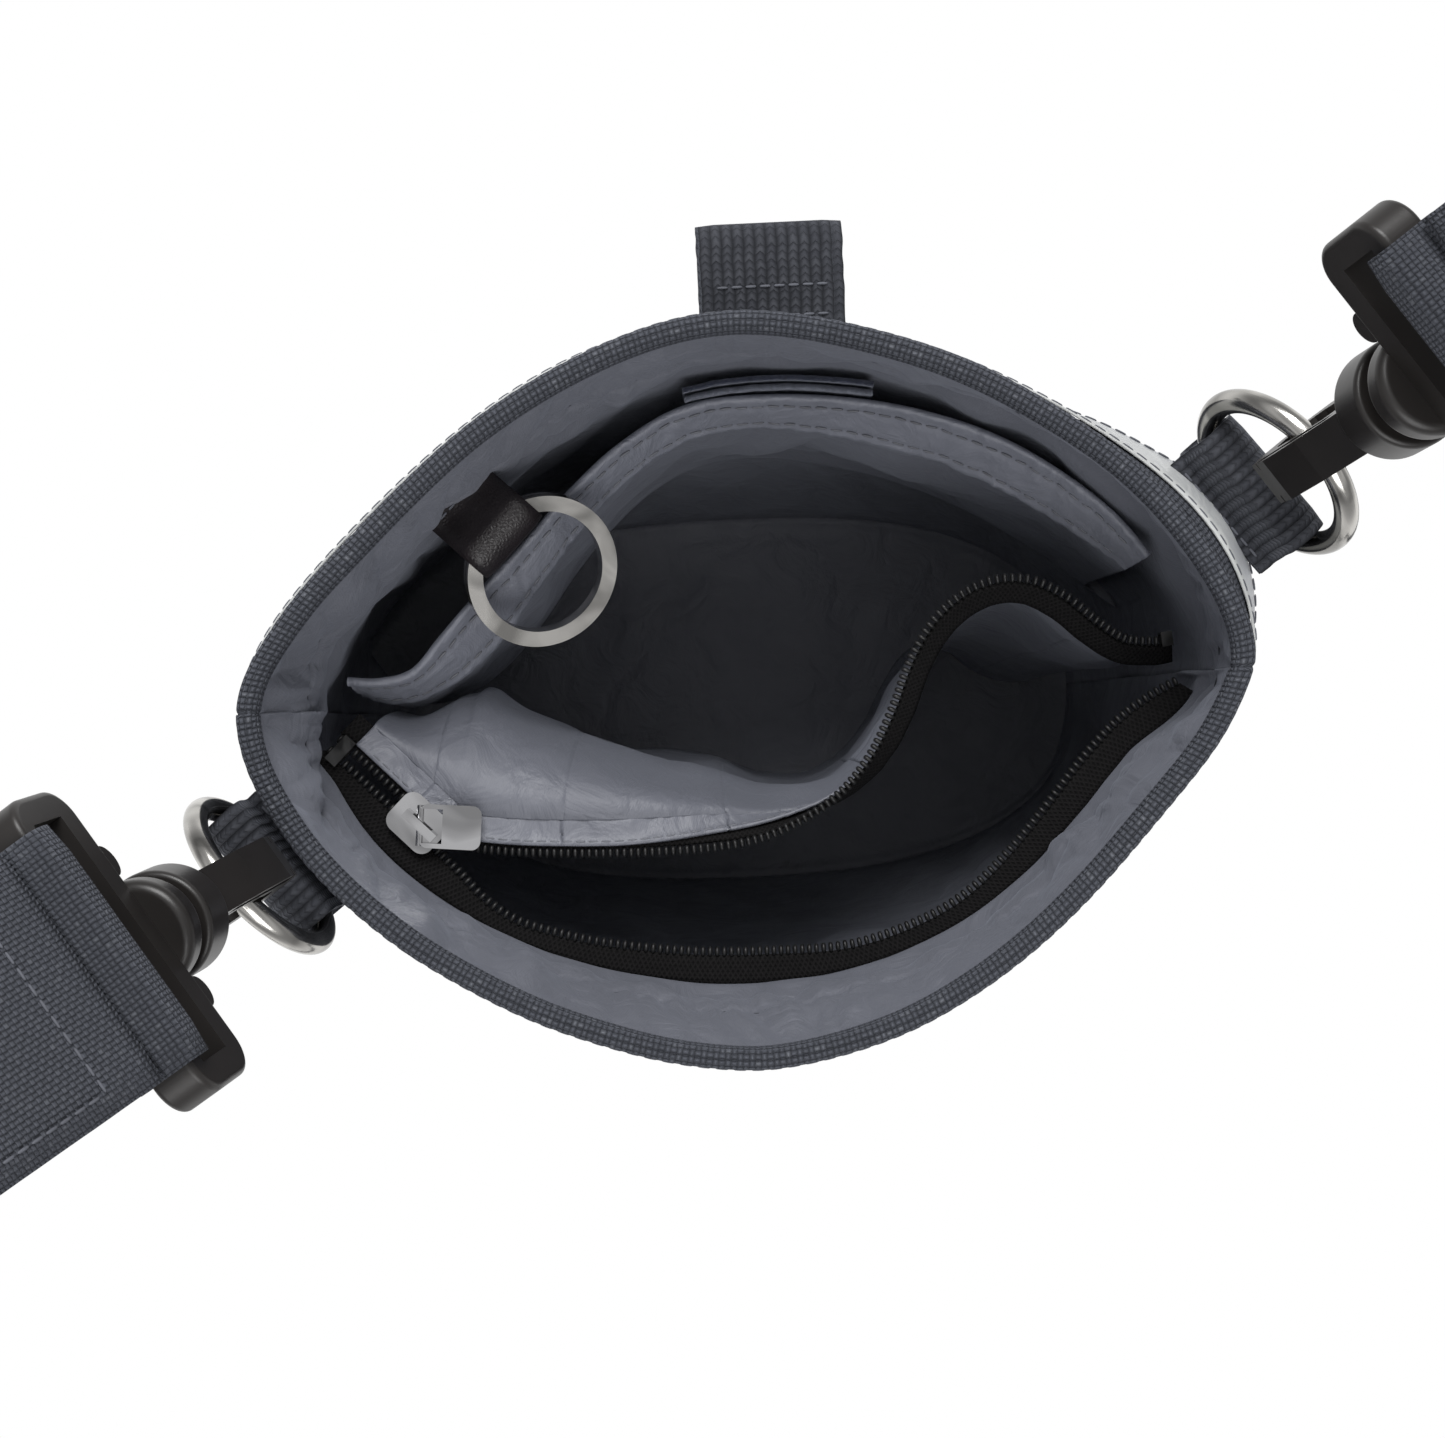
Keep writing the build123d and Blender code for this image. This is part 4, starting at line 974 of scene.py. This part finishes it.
def coil(name, pts, length, sgn, node):
    verts, faces = [], []
    n = int(length / 1.25)
    for q in range(n):
        k = min(NS - 1, (q + 0.5) / n * NS)
        i = int(k)
        f = k - i
        x, y = (lerp(a, b, f) for a, b in zip(pts[i], pts[i + 1]))
        nx, ny = side(pts, i)
        tx, ty = ny, -nx
        c = COIL_IN + COIL_W / 2
        base = len(verts)
        for a, r in ((-1.0, 0.25), (-0.82, 0.8), (-0.3, 1.0), (0.4, 0.92), (0.85, 0.7), (1.0, 0.2)):
            for w in range(8):
                g = 2 * math.pi * w / 8
                along = math.cos(g) * 0.46 * r
                up = math.sin(g) * COIL_H / 2 * r
                d = (c - a * COIL_W / 2 * 1.05) * sgn
                verts.append((x + nx * d + tx * along, y + ny * d + ty * along, ZIP_Z + up))
        for s in range(5):
            for w in range(8):
                a0 = base + s * 8
                faces.append((a0 + w, a0 + (w + 1) % 8, a0 + 8 + (w + 1) % 8, a0 + 8 + w))
        faces.append(tuple(base + w for w in range(7, -1, -1)))
        faces.append(tuple(base + 40 + w for w in range(8)))
    return piece(name, verts, faces, "coil", "pouch", [node])


coil("zip_teeth_rear", rear, rear_len, 1, "zip_coil_rear")
coil("zip_teeth_front", front, front_len, -1, "zip_coil_front")


def zip_panel(u, v):
    k = round(lerp(6, NS, u))
    nx, ny = side(rear, k)
    top = on_tape(k, TAPE_W + 0.2, HEM_LIFT)
    f = k / NS
    sway = (11.0 - 15.0 * ease((f - 0.30) / 0.45)) * ease(f / 0.12) * ease((1 - f) / 0.1)
    # all of the shut end's cloth leans the same way
    turned = ease((f - 0.22) / 0.2)
    nx, ny = lerp(0.12, nx, turned), lerp(0.99, ny, turned)
    bx, by = (top.x + nx * sway) * 0.9, top.y + ny * sway
    a = ease(v / 0.12) * ease((1 - v) / 0.1) * ease(min(u, 1 - u) / 0.05)
    d = a * (3.0 * nz(u * 7, v * 2.0, 1.5) + 0.45 * fold(u * 9 + v, v * 3.2 - u, 2.5) + 0.5 * nz(u * 26, v * 9, 3.5) - 0.3)
    belly = 17.0 * ease(f / 0.16) * (1 - ease((f - 0.12) / 0.42)) * math.sin(math.pi * v ** 0.5)
    slack = 1.6 * math.sin(math.pi * min(1.0, v / 0.35)) * (1 if v < 0.35 else 0)
    x, y = lerp(top.x, bx, v), lerp(top.y, by, v)
    return x + nx * (d + slack + belly), y + ny * (d + slack + belly), lerp(top.z + 0.3, 6.0, v)


sheet(
    "zip_pocket_cloth", zip_panel, NS, 60, 0.6, "nylon", ["zip_pocket_panel"], "hung",
)

# ------------------------------------------------------------------ slip pocket
HEM_CURVE = [
    (-71, 5.4), (-65, 5.0), (-59, 6.6), (-53.5, 12.6), (-46, 20.6), (-38, 28.4), (-30, 36.8), (-20, 45.2),
    (-8, 51.3), (7, 52.4), (24, 50.7), (38, 47.0), (49, 42.2), (59, 35.6), (67, 28.6), (73, 21),
]
LOW_CURVE = [
    (-70, 3.4), (-63, 1.6), (-55, 3.8), (-47, 9.6), (-40, 17.6), (-33, 27), (-25, 36), (-16, 43.4),
    (-6, 48), (7, 48.8), (22, 46), (35, 42), (46, 37), (56, 31), (64, 25.4), (71, 19.6),
]
SLIP_TOP, SLIP_BAND, SLIP_BOT, HEM_T = H - 36.0, 11.0, H - 102.0, 1.6
top_line, _ = catmull(HEM_CURVE, NS)
low_line, _ = catmull(LOW_CURVE, NS)


def slip_frame(k, f):
    """Point of the hem band's middle, f from its top edge 0 to its foot 1, and the way it faces."""
    (x0, y0), (x1, y1) = top_line[k], low_line[k]
    nx, ny = side(top_line, k)
    z = SLIP_TOP - SLIP_BAND * f
    lean = (x1 - x0) * nx + (y1 - y0) * ny
    face = Vector((-nx * SLIP_BAND, -ny * SLIP_BAND, -lean)).normalized()
    return Vector((lerp(x0, x1, f), lerp(y0, y1, f), z)), face


def slip_skin(k, f, out):
    c, face = slip_frame(k, f)
    s = k / NS
    puff = 0.35 * fold(s * 60, f * 1.5, 21.0) + 0.5 * nz(s * 30, f * 1.4, 22.0)
    sewn = 0.45 * (math.exp(-(((f - 0.22) / 0.07) ** 2)) + math.exp(-(((f - 0.84) / 0.06) ** 2)))
    p = c + face * (out * (HEM_T / 2) * 0.9 + (0.55 * puff - sewn if out > 0 else 0.0))
    return p


def slip_band():
    rows = []
    m = 16
    for k in range(NS + 1):
        row = [tuple(slip_skin(k, 1.0 - 0.98 * j / m, 1.0)) for j in range(m + 1)]
        for w in (0.25, 0.5, 0.75):
            c, face = slip_frame(k, 0.0)
            g = math.pi * w
            row.append(tuple(c + face * (math.cos(g) * HEM_T / 2) + Vector((0, 0, 0.75 * math.sin(g)))))
        row += [tuple(slip_skin(k, j / 5, -1.0)) for j in range(6)]
        rows.append(row)
    v, f, uv = grid(rows)
    n = len(rows[0])
    for k in range(NS):
        a, b = k * n, (k + 1) * n
        f.append((a + n - 1, b + n - 1, b, a))
    for i in (0, NS):
        f.append(tuple(i * n + j for j in (range(n) if i else range(n - 1, -1, -1))))
    ob = piece("slip_pocket_edge", v, f, "hem", "pouch", ["slip_pocket_hem"], uv)
    declare(rows, 0.5)
    lines = [[tuple(slip_skin(k, f, 1.0) + slip_frame(k, f)[1] * 0.18) for k in range(3, NS - 2)] for f in (0.22, 0.84)]
    stitches("slip_pocket_thread", lines, 2.9, 2.1, 0.25, "thread_light")


slip_band()


def slip_panel(u, v):
    k = round(u * NS)
    nx, ny = side(low_line, k)
    x, y = low_line[k]
    z = lerp(SLIP_TOP - SLIP_BAND + 0.6, SLIP_BOT + 0.6, v)
    a = ease(v / 0.15) * ease((1 - v) / 0.1) * ease(min(u, 1 - u) / 0.05)
    d = a * (2.3 * nz(u * 8, v * 2, 8.5) + 0.9 * fold(u * 11 + v, v * 2.4, 9.5) + 0.4 * nz(u * 28, v * 7, 4.5))
    return x + nx * d, y + ny * d, z


sheet(
    "slip_pocket_cloth", slip_panel, NS, 40, 0.6, "nylon", ["slip_pocket_panel"], "hung",
)


def slip_floor(u, v):
    k = round(u * NS)
    x, y = low_line[k]
    t = lerp(math.pi - 0.24, 0.26, u)
    wx, wy = wall(t, SLIP_BOT, -5.0, False)
    x, y = lerp(x, wx, v), lerp(y, wy, v)
    return x, y, SLIP_BOT + 0.4 - 0.8 * math.sin(math.pi * v) + 0.3 * nz(x / 9, y / 9, 77)


sheet(
    "slip_floor_cloth", slip_floor, NS, 8, 0.5, "nylon", ["slip_pocket_floor"], "hung",
)

# touch fastening
touch, _ = catmull([(-8.5, 52.3), (-1, 53.5), (8, 53.8), (16, 53.2), (25, 51.9)], 160)


def touch_tape(name, off, z0, z1, thick, mat, node, rib):
    def fn(u, v):
        k = round(u * 160)
        nx, ny = side(touch, k)
        x, y = touch[k]
        z = lerp(z0, z1, v)
        d = off + 0.12 * nz(x / 2.0, z / 2.0, off)
        edge = rib * (0.5 + 0.5 * math.cos(math.pi * k)) * ease((v - 0.8) / 0.2)
        return x + nx * d, y + ny * d, z + 0.35 * edge
    sheet(name, fn, 160, 10, thick, mat, [node], "stretched")


touch_tape(
    "hook_tape_cloth", 0.45, SLIP_TOP - 9.0, SLIP_TOP + 1.0, 1.0, "hooks", "hook_tape",
    1.0,
)
touch_tape("loop_tape_cloth", 1.9, SLIP_TOP - 7.0, SLIP_TOP + 2.2, 0.9, "pile", "loop_tape", 0.0)

# ------------------------------------------------------------------ webbing tabs
TAB_W, TAB_T = 24.0, 1.3


def place(p, az, lean=0.0):
    """Local frame at p: X out along azimuth az, Z up, leaned about Y."""
    spot = Matrix.Translation(Vector(p))
    return spot @ Matrix.Rotation(math.radians(az), 4, "Z") @ Matrix.Rotation(math.radians(lean), 4, "Y")


def moved(m, v):
    return tuple(m @ Vector(v))


def inset(p):
    """How far p lies inside the body wall, mm."""
    d, t = min((dist(wall(2 * math.pi * k / 360, p[2], 0.0), p[:2]), 2 * math.pi * k / 360) for k in range(360))
    x, y = wall(t, p[2], 0.0)
    return d if p[0] * p[0] + p[1] * p[1] < x * x + y * y else -d


def fold_line(side_in, rx, rz, sweep, count):
    """Side view of a doubled band: out along side_in, round the fold and back below."""
    arc = []
    for k in range(13):
        w = math.radians(sweep - 2 * sweep * k / 12)
        arc.append((rx * math.cos(w), rz * math.sin(w)))
    pts = [(x, 0, z) for x, z in side_in] + [(x, 0, z) for x, z in arc] + [(x, 0, -z) for x, z in side_in[::-1]]
    return catmull(pts, count)[0]


def folded_tab(name, node, p, az, width, reach, open_x, open_z, seed):
    """Webbing that runs out, round the fold and back in."""
    m = place(p, az)
    gap = TAB_T / 2 + 0.12
    reach = next(s / 4 for s in range(20, 4 * 30) if inset(moved(m, (-s / 4, 0, 0))) > 0.9)
    side_in = [(-reach, gap), (-reach * 0.8, gap), (-reach * 0.58, gap + 0.4)]
    line = fold_line(side_in, open_x + TAB_T / 2, open_z + TAB_T / 2, 116, 90)
    rows = []
    wide = (m.to_3x3() @ Vector((0, 1, 0)))
    for k, q in enumerate(line):
        a, b = Vector(line[max(0, k - 1)]), Vector(line[min(90, k + 1)])
        t = (b - a).normalized()
        nn = m.to_3x3() @ Vector((t.z, 0, -t.x)) * -1
        wob = 0.18 * nz(k / 9.0, seed)
        rows.append((moved(m, (q[0], wob, q[2] + wob * 0.5)), wide, nn, width + 0.25 * nz(k / 6.0, seed + 3)))
    strip(
        name, rows, TAB_T, "webbing", [node], held="folded",
    )
    out = TAB_T / 2 + 0.16
    top = gap + out
    lines = []
    for x in (-reach * 0.86, -reach * 0.52):
        z = top + (0.55 if x > -reach * 0.7 else 0.0)
        lines.append([moved(m, (x, y / 10 * (width / 2 - 1.6), z)) for y in range(-10, 11)])
    stitches(name + "_thread", lines, 2.4, 1.8, 0.25, "thread")


folded_tab("tab_left_webbing", "ring_tab_left", (-80.7, -25.7, H - 15.0), 219.0, TAB_W, 15.0, 4.7, 8.7, 1)
folded_tab("tab_right_webbing", "ring_tab_right", (86.7, 29.9, H - 15.0), 38.0, TAB_W, 18.0, 4.7, 8.7, 2)
folded_tab("tab_back_webbing", "back_tab", (7.2, 75.4, H - 12.5), 90.0, 24.6, 15.6, 2.2, 2.0, 3)

# ------------------------------------------------------------------ key holder
KEY = place((-42.4, 30.2, H - 28.0), -44.0)
KEY_W, KEY_R, KEY_T = 15.0, 3.3, 1.2


def key_strap():
    side_in = [(-12.5, KEY_T / 2 + 0.1), (-9.5, KEY_T / 2 + 0.15), (-6.6, KEY_T / 2 + 0.55)]
    r = KEY_R + KEY_T / 2
    line = fold_line(side_in, r, r, 128, 80)
    wide = KEY.to_3x3() @ Vector((0, 1, 0))
    rows = []
    for k, q in enumerate(line):
        t = (Vector(line[min(80, k + 1)]) - Vector(line[max(0, k - 1)])).normalized()
        nn = KEY.to_3x3() @ Vector((-t.z, 0, t.x))
        rows.append((moved(KEY, q), wide, nn, KEY_W - 0.3))
    strip(
        "key_strap_leather", rows, KEY_T, "leather", ["key_loop"], round_=0.35,
        held="folded",
    )
    z = KEY_T + 0.32
    lines = [[moved(KEY, (-8.6, y / 10 * 6.0, z)) for y in range(-10, 11)]]
    stitches("key_strap_thread", lines, 2.2, 1.6, 0.24, "thread")


key_strap()

# ------------------------------------------------------------------ shoulder strap, mm
STRAP_W, STRAP_T, SAG, RING_R = 38.0, 1.8, 3.5, 14.5
BAR_Z = 40.0 + 5.4 + 9.0 + 1.8


def clip_frame(p, az, lean, clip_az, clip_lean):
    l, a = math.radians(lean), math.radians(az)
    up = 2 * RING_R - SAG
    top = (p[0] + math.cos(a) * up * math.sin(l), p[1] + math.sin(a) * up * math.sin(l), p[2] + up * math.cos(l))
    return place(top, clip_az, clip_lean)


CLIP_L = clip_frame((-80.7, -25.7, H - 15.0), 219.0, 9.0, 213.0, 10.0)
CLIP_R = clip_frame((86.7, 29.9, H - 15.0), 38.0, 17.0, 35.5, 13.0)
bar_l, bar_r = moved(CLIP_L, (0, 0, BAR_Z)), moved(CLIP_R, (0, 0, BAR_Z))
side_l = (-math.sin(math.radians(213.0)), math.cos(math.radians(213.0)), 0.0)
side_r = (math.sin(math.radians(35.5)), -math.cos(math.radians(35.5)), 0.0)
back_r = tuple(-c for c in side_r)


def along(p, az, out, up):
    a = math.radians(az)
    return (p[0] + math.cos(a) * out, p[1] + math.sin(a) * out, p[2] + up)


EX, UP = (1.0, 0.0, 0.0), (0.0, 0.0, 1.0)
ROUTE = [
    (along(bar_l, 213, 2.6, 3.0), side_l),
    (along(bar_l, 213, 11.5, 13.5), side_l),
    (along(bar_l, 213, 27, 36), side_l),
    (along(bar_l, 213, 52, 56), side_l),
    (along(bar_l, 213, 84, 42), side_l),
    (along(bar_l, 213, 104, 2), side_l),
    ((-184.0, -94.0, 180.0), (0.66, -0.75, 0.0)),
    ((-190.0, -99.0, 125.0), (0.82, -0.57, 0.0)),
    ((-195.0, -104.0, 75.0), (0.94, -0.34, 0.0)),
    ((-199.0, -112.0, 32.0), EX),
    ((-202.0, -130.0, 4.0), EX),
    ((-204.0, -152.0, 1.2), (0.98, 0.0, 0.2)),
    ((-203.0, -178.0, 14.0), (0.6, 0.1, 0.8)),
    ((-190.0, -201.0, 19.5), UP),
    ((-163.0, -212.0, 19.5), UP),
    ((-130.0, -212.0, 10.0), (0.0, 0.75, 0.66)),
    ((-95.0, -210.0, 1.2), (0.0, 1.0, 0.1)),
    ((-50.0, -207.0, 1.2), (0.0, 1.0, 0.0)),
    ((0.0, -206.0, 1.2), (0.0, 1.0, 0.0)),
    ((50.0, -208.0, 1.2), (0.0, 1.0, 0.0)),
    ((95.0, -212.0, 1.2), (0.0, 1.0, 0.1)),
    ((132.0, -214.0, 10.0), (0.0, 0.75, 0.66)),
    ((166.0, -211.0, 19.5), UP),
    ((193.0, -197.0, 19.5), UP),
    ((205.0, -171.0, 14.0), (-0.6, 0.1, 0.8)),
    ((208.0, -142.0, 1.2), (-0.98, 0.0, 0.2)),
    ((208.0, -108.0, 4.2), (-1.0, 0.0, 0.0)),
    ((207.0, -70.0, 4.4), (-1.0, 0.0, 0.0)),
    ((206.0, -32.0, 4.4), (-1.0, 0.0, 0.0)),
    ((205.0, 4.0, 4.2), (-1.0, 0.0, 0.0)),
    ((203.5, 40.0, 5.0), (-1.0, 0.0, 0.0)),
    ((202.0, 68.0, 26.0), (-1.0, 0.0, 0.0)),
    ((200.0, 84.0, 70.0), (-0.96, 0.25, 0.0)),
    ((197.0, 95.0, 122.0), (-0.86, 0.5, 0.0)),
    ((192.0, 102.0, 178.0), (-0.7, 0.7, 0.0)),
    (along(bar_r, 35.5, 98, 2), back_r),
    (along(bar_r, 35.5, 80, 42), back_r),
    (along(bar_r, 35.5, 50, 56), back_r),
    (along(bar_r, 35.5, 26, 36), back_r),
    (along(bar_r, 35.5, 11, 15), back_r),
    (along(bar_r, 35.5, 2.6, 4.6), back_r),
]
# neighbouring width directions run the same way round
fixed = [ROUTE[0]]
for p, w in ROUTE[1:]:
    if sum(a * b for a, b in zip(w, fixed[-1][1])) < 0:
        w = tuple(-c for c in w)
    fixed.append((p, w))
ROUTE = fixed


def smooth(points):
    """Points of a NURBS curve with these control points."""
    cu = bpy.data.curves.new("route", "CURVE")
    cu.dimensions = "3D"
    s = cu.splines.new("NURBS")
    s.points.add(len(points) - 1)
    for q, p in zip(s.points, points):
        q.co = (*p, 1.0)
    s.order_u = 3
    s.use_endpoint_u = True
    s.resolution_u = 12
    ob = bpy.data.objects.new("route", cu)
    bpy.context.scene.collection.objects.link(ob)
    me = bpy.data.meshes.new_from_object(ob)
    out = [tuple(v.co) for v in me.vertices]
    bpy.data.objects.remove(ob)
    bpy.data.curves.remove(cu)
    bpy.data.meshes.remove(me)
    return out


LINE = smooth([scaled(p, MM) for p, w in ROUTE])
WIDE = smooth([w for p, w in ROUTE])
LN = len(LINE) - 1


def web_rows(f0, f1, lift=0.0, step=1):
    rows = []
    for k in range(round(f0 * LN), round(f1 * LN) + 1, step):
        a, b = Vector(LINE[max(0, k - 1)]), Vector(LINE[min(LN, k + 1)])
        t = (b - a).normalized()
        w = Vector(WIDE[k])
        w = (w - t * w.dot(t)).normalized()
        nn = t.cross(w)
        s = k / LN
        sway = 0.25 * nz(s * 60, 5.0) * ease(min(s, 1 - s) / 0.02)
        c = Vector(LINE[k]) / MM + nn * (lift + sway)
        low = min((c + w * (sw * STRAP_W / 2) + nn * (sn * STRAP_T / 2)).z for sw in (-1, 1) for sn in (-1, 1))
        if low < 0.15:
            c.z += 0.15 - low
        rows.append((tuple(c), w, nn, STRAP_W + 0.3 * nz(s * 90, 8.0)))
    return rows


FLAP_GAP = STRAP_T + 0.35
strap = strip("strap_cloth", web_rows(0.0, 1.0), STRAP_T, "strap", ["strap_webbing"], round_=0.5)
flap_rows = web_rows(0.0, 4 / 120, FLAP_GAP)
flap = strip("strap_end_flap", flap_rows, STRAP_T, "strap", ["strap_flap_left"], round_=0.5)
back = strip(
    "strap_doubled", web_rows(83 / 120, 1.0, FLAP_GAP), STRAP_T, "strap", ["strap_return"],
    round_=0.5,
)


def bar_fold(name, m, node):
    """The strap's turn round a clip's bar."""
    rows = []
    hx, hz, r = (7.0 + 1.0 + STRAP_T) / 2, (3.6 + 0.8 + STRAP_T) / 2, 2.2
    wide = m.to_3x3() @ Vector((0, 1, 0))
    n = 64
    for k in range(n + 1):
        w = 2 * math.pi * k / n + math.pi / 2
        c, s = math.cos(w), math.sin(w)
        px, pz = (hx - r) * max(-1, min(1, c * 2.2)) + r * c, (hz - r) * max(-1, min(1, s * 2.2)) + r * s
        nn = m.to_3x3() @ Vector((c, 0, s))
        rows.append((moved(m, (px, 0, BAR_Z + pz)), wide, nn, STRAP_W))
    return strip(name, rows, STRAP_T, "strap", [node], round_=0.5)


fold_l = bar_fold("strap_turn_left", CLIP_L, "strap_fold_left")
fold_r = bar_fold("strap_turn_right", CLIP_R, "strap_fold_right")


def slider_fold():
    k = round(83 / 120 * LN)
    p, q = Vector(LINE[k]) / MM, Vector(LINE[min(LN, k + 3)]) / MM
    az = math.degrees(math.atan2(q.y - p.y, q.x - p.x))
    m = place((p.x, p.y, 0), az) @ Matrix.Translation(Vector((-3.6, 0, 8.9)))
    rows = []
    wide = m.to_3x3() @ Vector((0, 1, 0))
    for j in range(41):
        w = 2 * math.pi * j / 40
        nn = m.to_3x3() @ Vector((math.cos(w), 0, math.sin(w)))
        rows.append((moved(m, ((1.6 + STRAP_T / 2) * math.cos(w), 0, (1.6 + STRAP_T / 2) * math.sin(w))), wide, nn, STRAP_W))
    return strip("strap_turn_slider", rows, STRAP_T, "strap", ["strap_return_fold"], round_=0.5)


fold_s = slider_fold()
# end flap's box of stitches
box = []
for f in (0.25, 0.8):
    c, w, nn, _ = flap_rows[round(f * (len(flap_rows) - 1))]
    c, w, nn = Vector(c), Vector(w), Vector(nn)
    box.append([tuple(c + w * (s * 16.0 / 10) + nn * (STRAP_T / 2 + 0.15)) for s in range(-10, 11)])
for s in (-16.0, 16.0):
    box.append([tuple(Vector(c) + Vector(w) * s + Vector(nn) * (STRAP_T / 2 + 0.15)) for c, w, nn, _ in flap_rows[len(flap_rows) // 4:]])
flap_thread = stitches("strap_flap_thread", box, 2.6, 2.0, 0.25, "thread")
length = sum(dist(a, b) for a, b in zip(LINE, LINE[1:]))
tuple(LINE[0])

# ------------------------------------------------------------------ camera, light, world
sc = bpy.context.scene
cam = bpy.data.objects.new("camera", bpy.data.cameras.new("camera"))
sc.collection.objects.link(cam)
cam.data.sensor_width = 36.0
cam.data.lens = 60.79
cam.location = (-4.4 * MM, -4.55 * MM, 560 * MM)
cam.rotation_euler = (0, 0, math.radians(-2.7))
cam.data.clip_start = 0.01
sc.camera = cam

w = bpy.data.worlds.new("studio")
w.use_nodes = True
sc.world = w
nt = w.node_tree
bg = nt.nodes["Background"]
tc = nt.nodes.new("ShaderNodeTexCoord")
sep = nt.nodes.new("ShaderNodeSeparateXYZ")
nt.links.new(tc.outputs["Generated"], sep.inputs[0])
ramp = nt.nodes.new("ShaderNodeValToRGB")
el = ramp.color_ramp.elements
el[0].position, el[0].color = 0.0, (1, 1, 1, 1)
el[1].position, el[1].color = 0.30, (1, 1, 1, 1)
for p, c in ((0.45, 0.45), (0.62, 0.25), (0.75, 0.6), (0.86, 0.4), (1.0, 0.62)):
    e = el.new(p)
    e.color = (c, c, c * 1.01, 1)
mp = nt.nodes.new("ShaderNodeMapRange")
mp.inputs["From Min"].default_value = -1
mp.inputs["From Max"].default_value = 1
nt.links.new(sep.outputs[2], mp.inputs["Value"])
nt.links.new(mp.outputs[0], ramp.inputs[0])
nt.links.new(ramp.outputs[0], bg.inputs[0])
bg.inputs[1].default_value = 1.0


def area(name, loc, target, size, power, col=(1, 1, 1)):
    d = bpy.data.lights.new(name, "AREA")
    d.shape, d.size, d.energy, d.color = "SQUARE", size, power, col
    o = bpy.data.objects.new(name, d)
    o.location = loc
    o.rotation_euler = (Vector(target) - Vector(loc)).to_track_quat("-Z", "Y").to_euler()
    sc.collection.objects.link(o)
    return o


area("key", (-0.02, 0.75, 1.05), (0, 0, 0.12), 0.6, 11.5)
area("fill", (0.1, -0.75, 1.05), (0, 0, 0.12), 0.8, 6)

sc.render.engine = "CYCLES"
sc.cycles.samples = 96
sc.cycles.use_denoising = True
sc.view_settings.view_transform = "Standard"
sc.view_settings.look = "None"
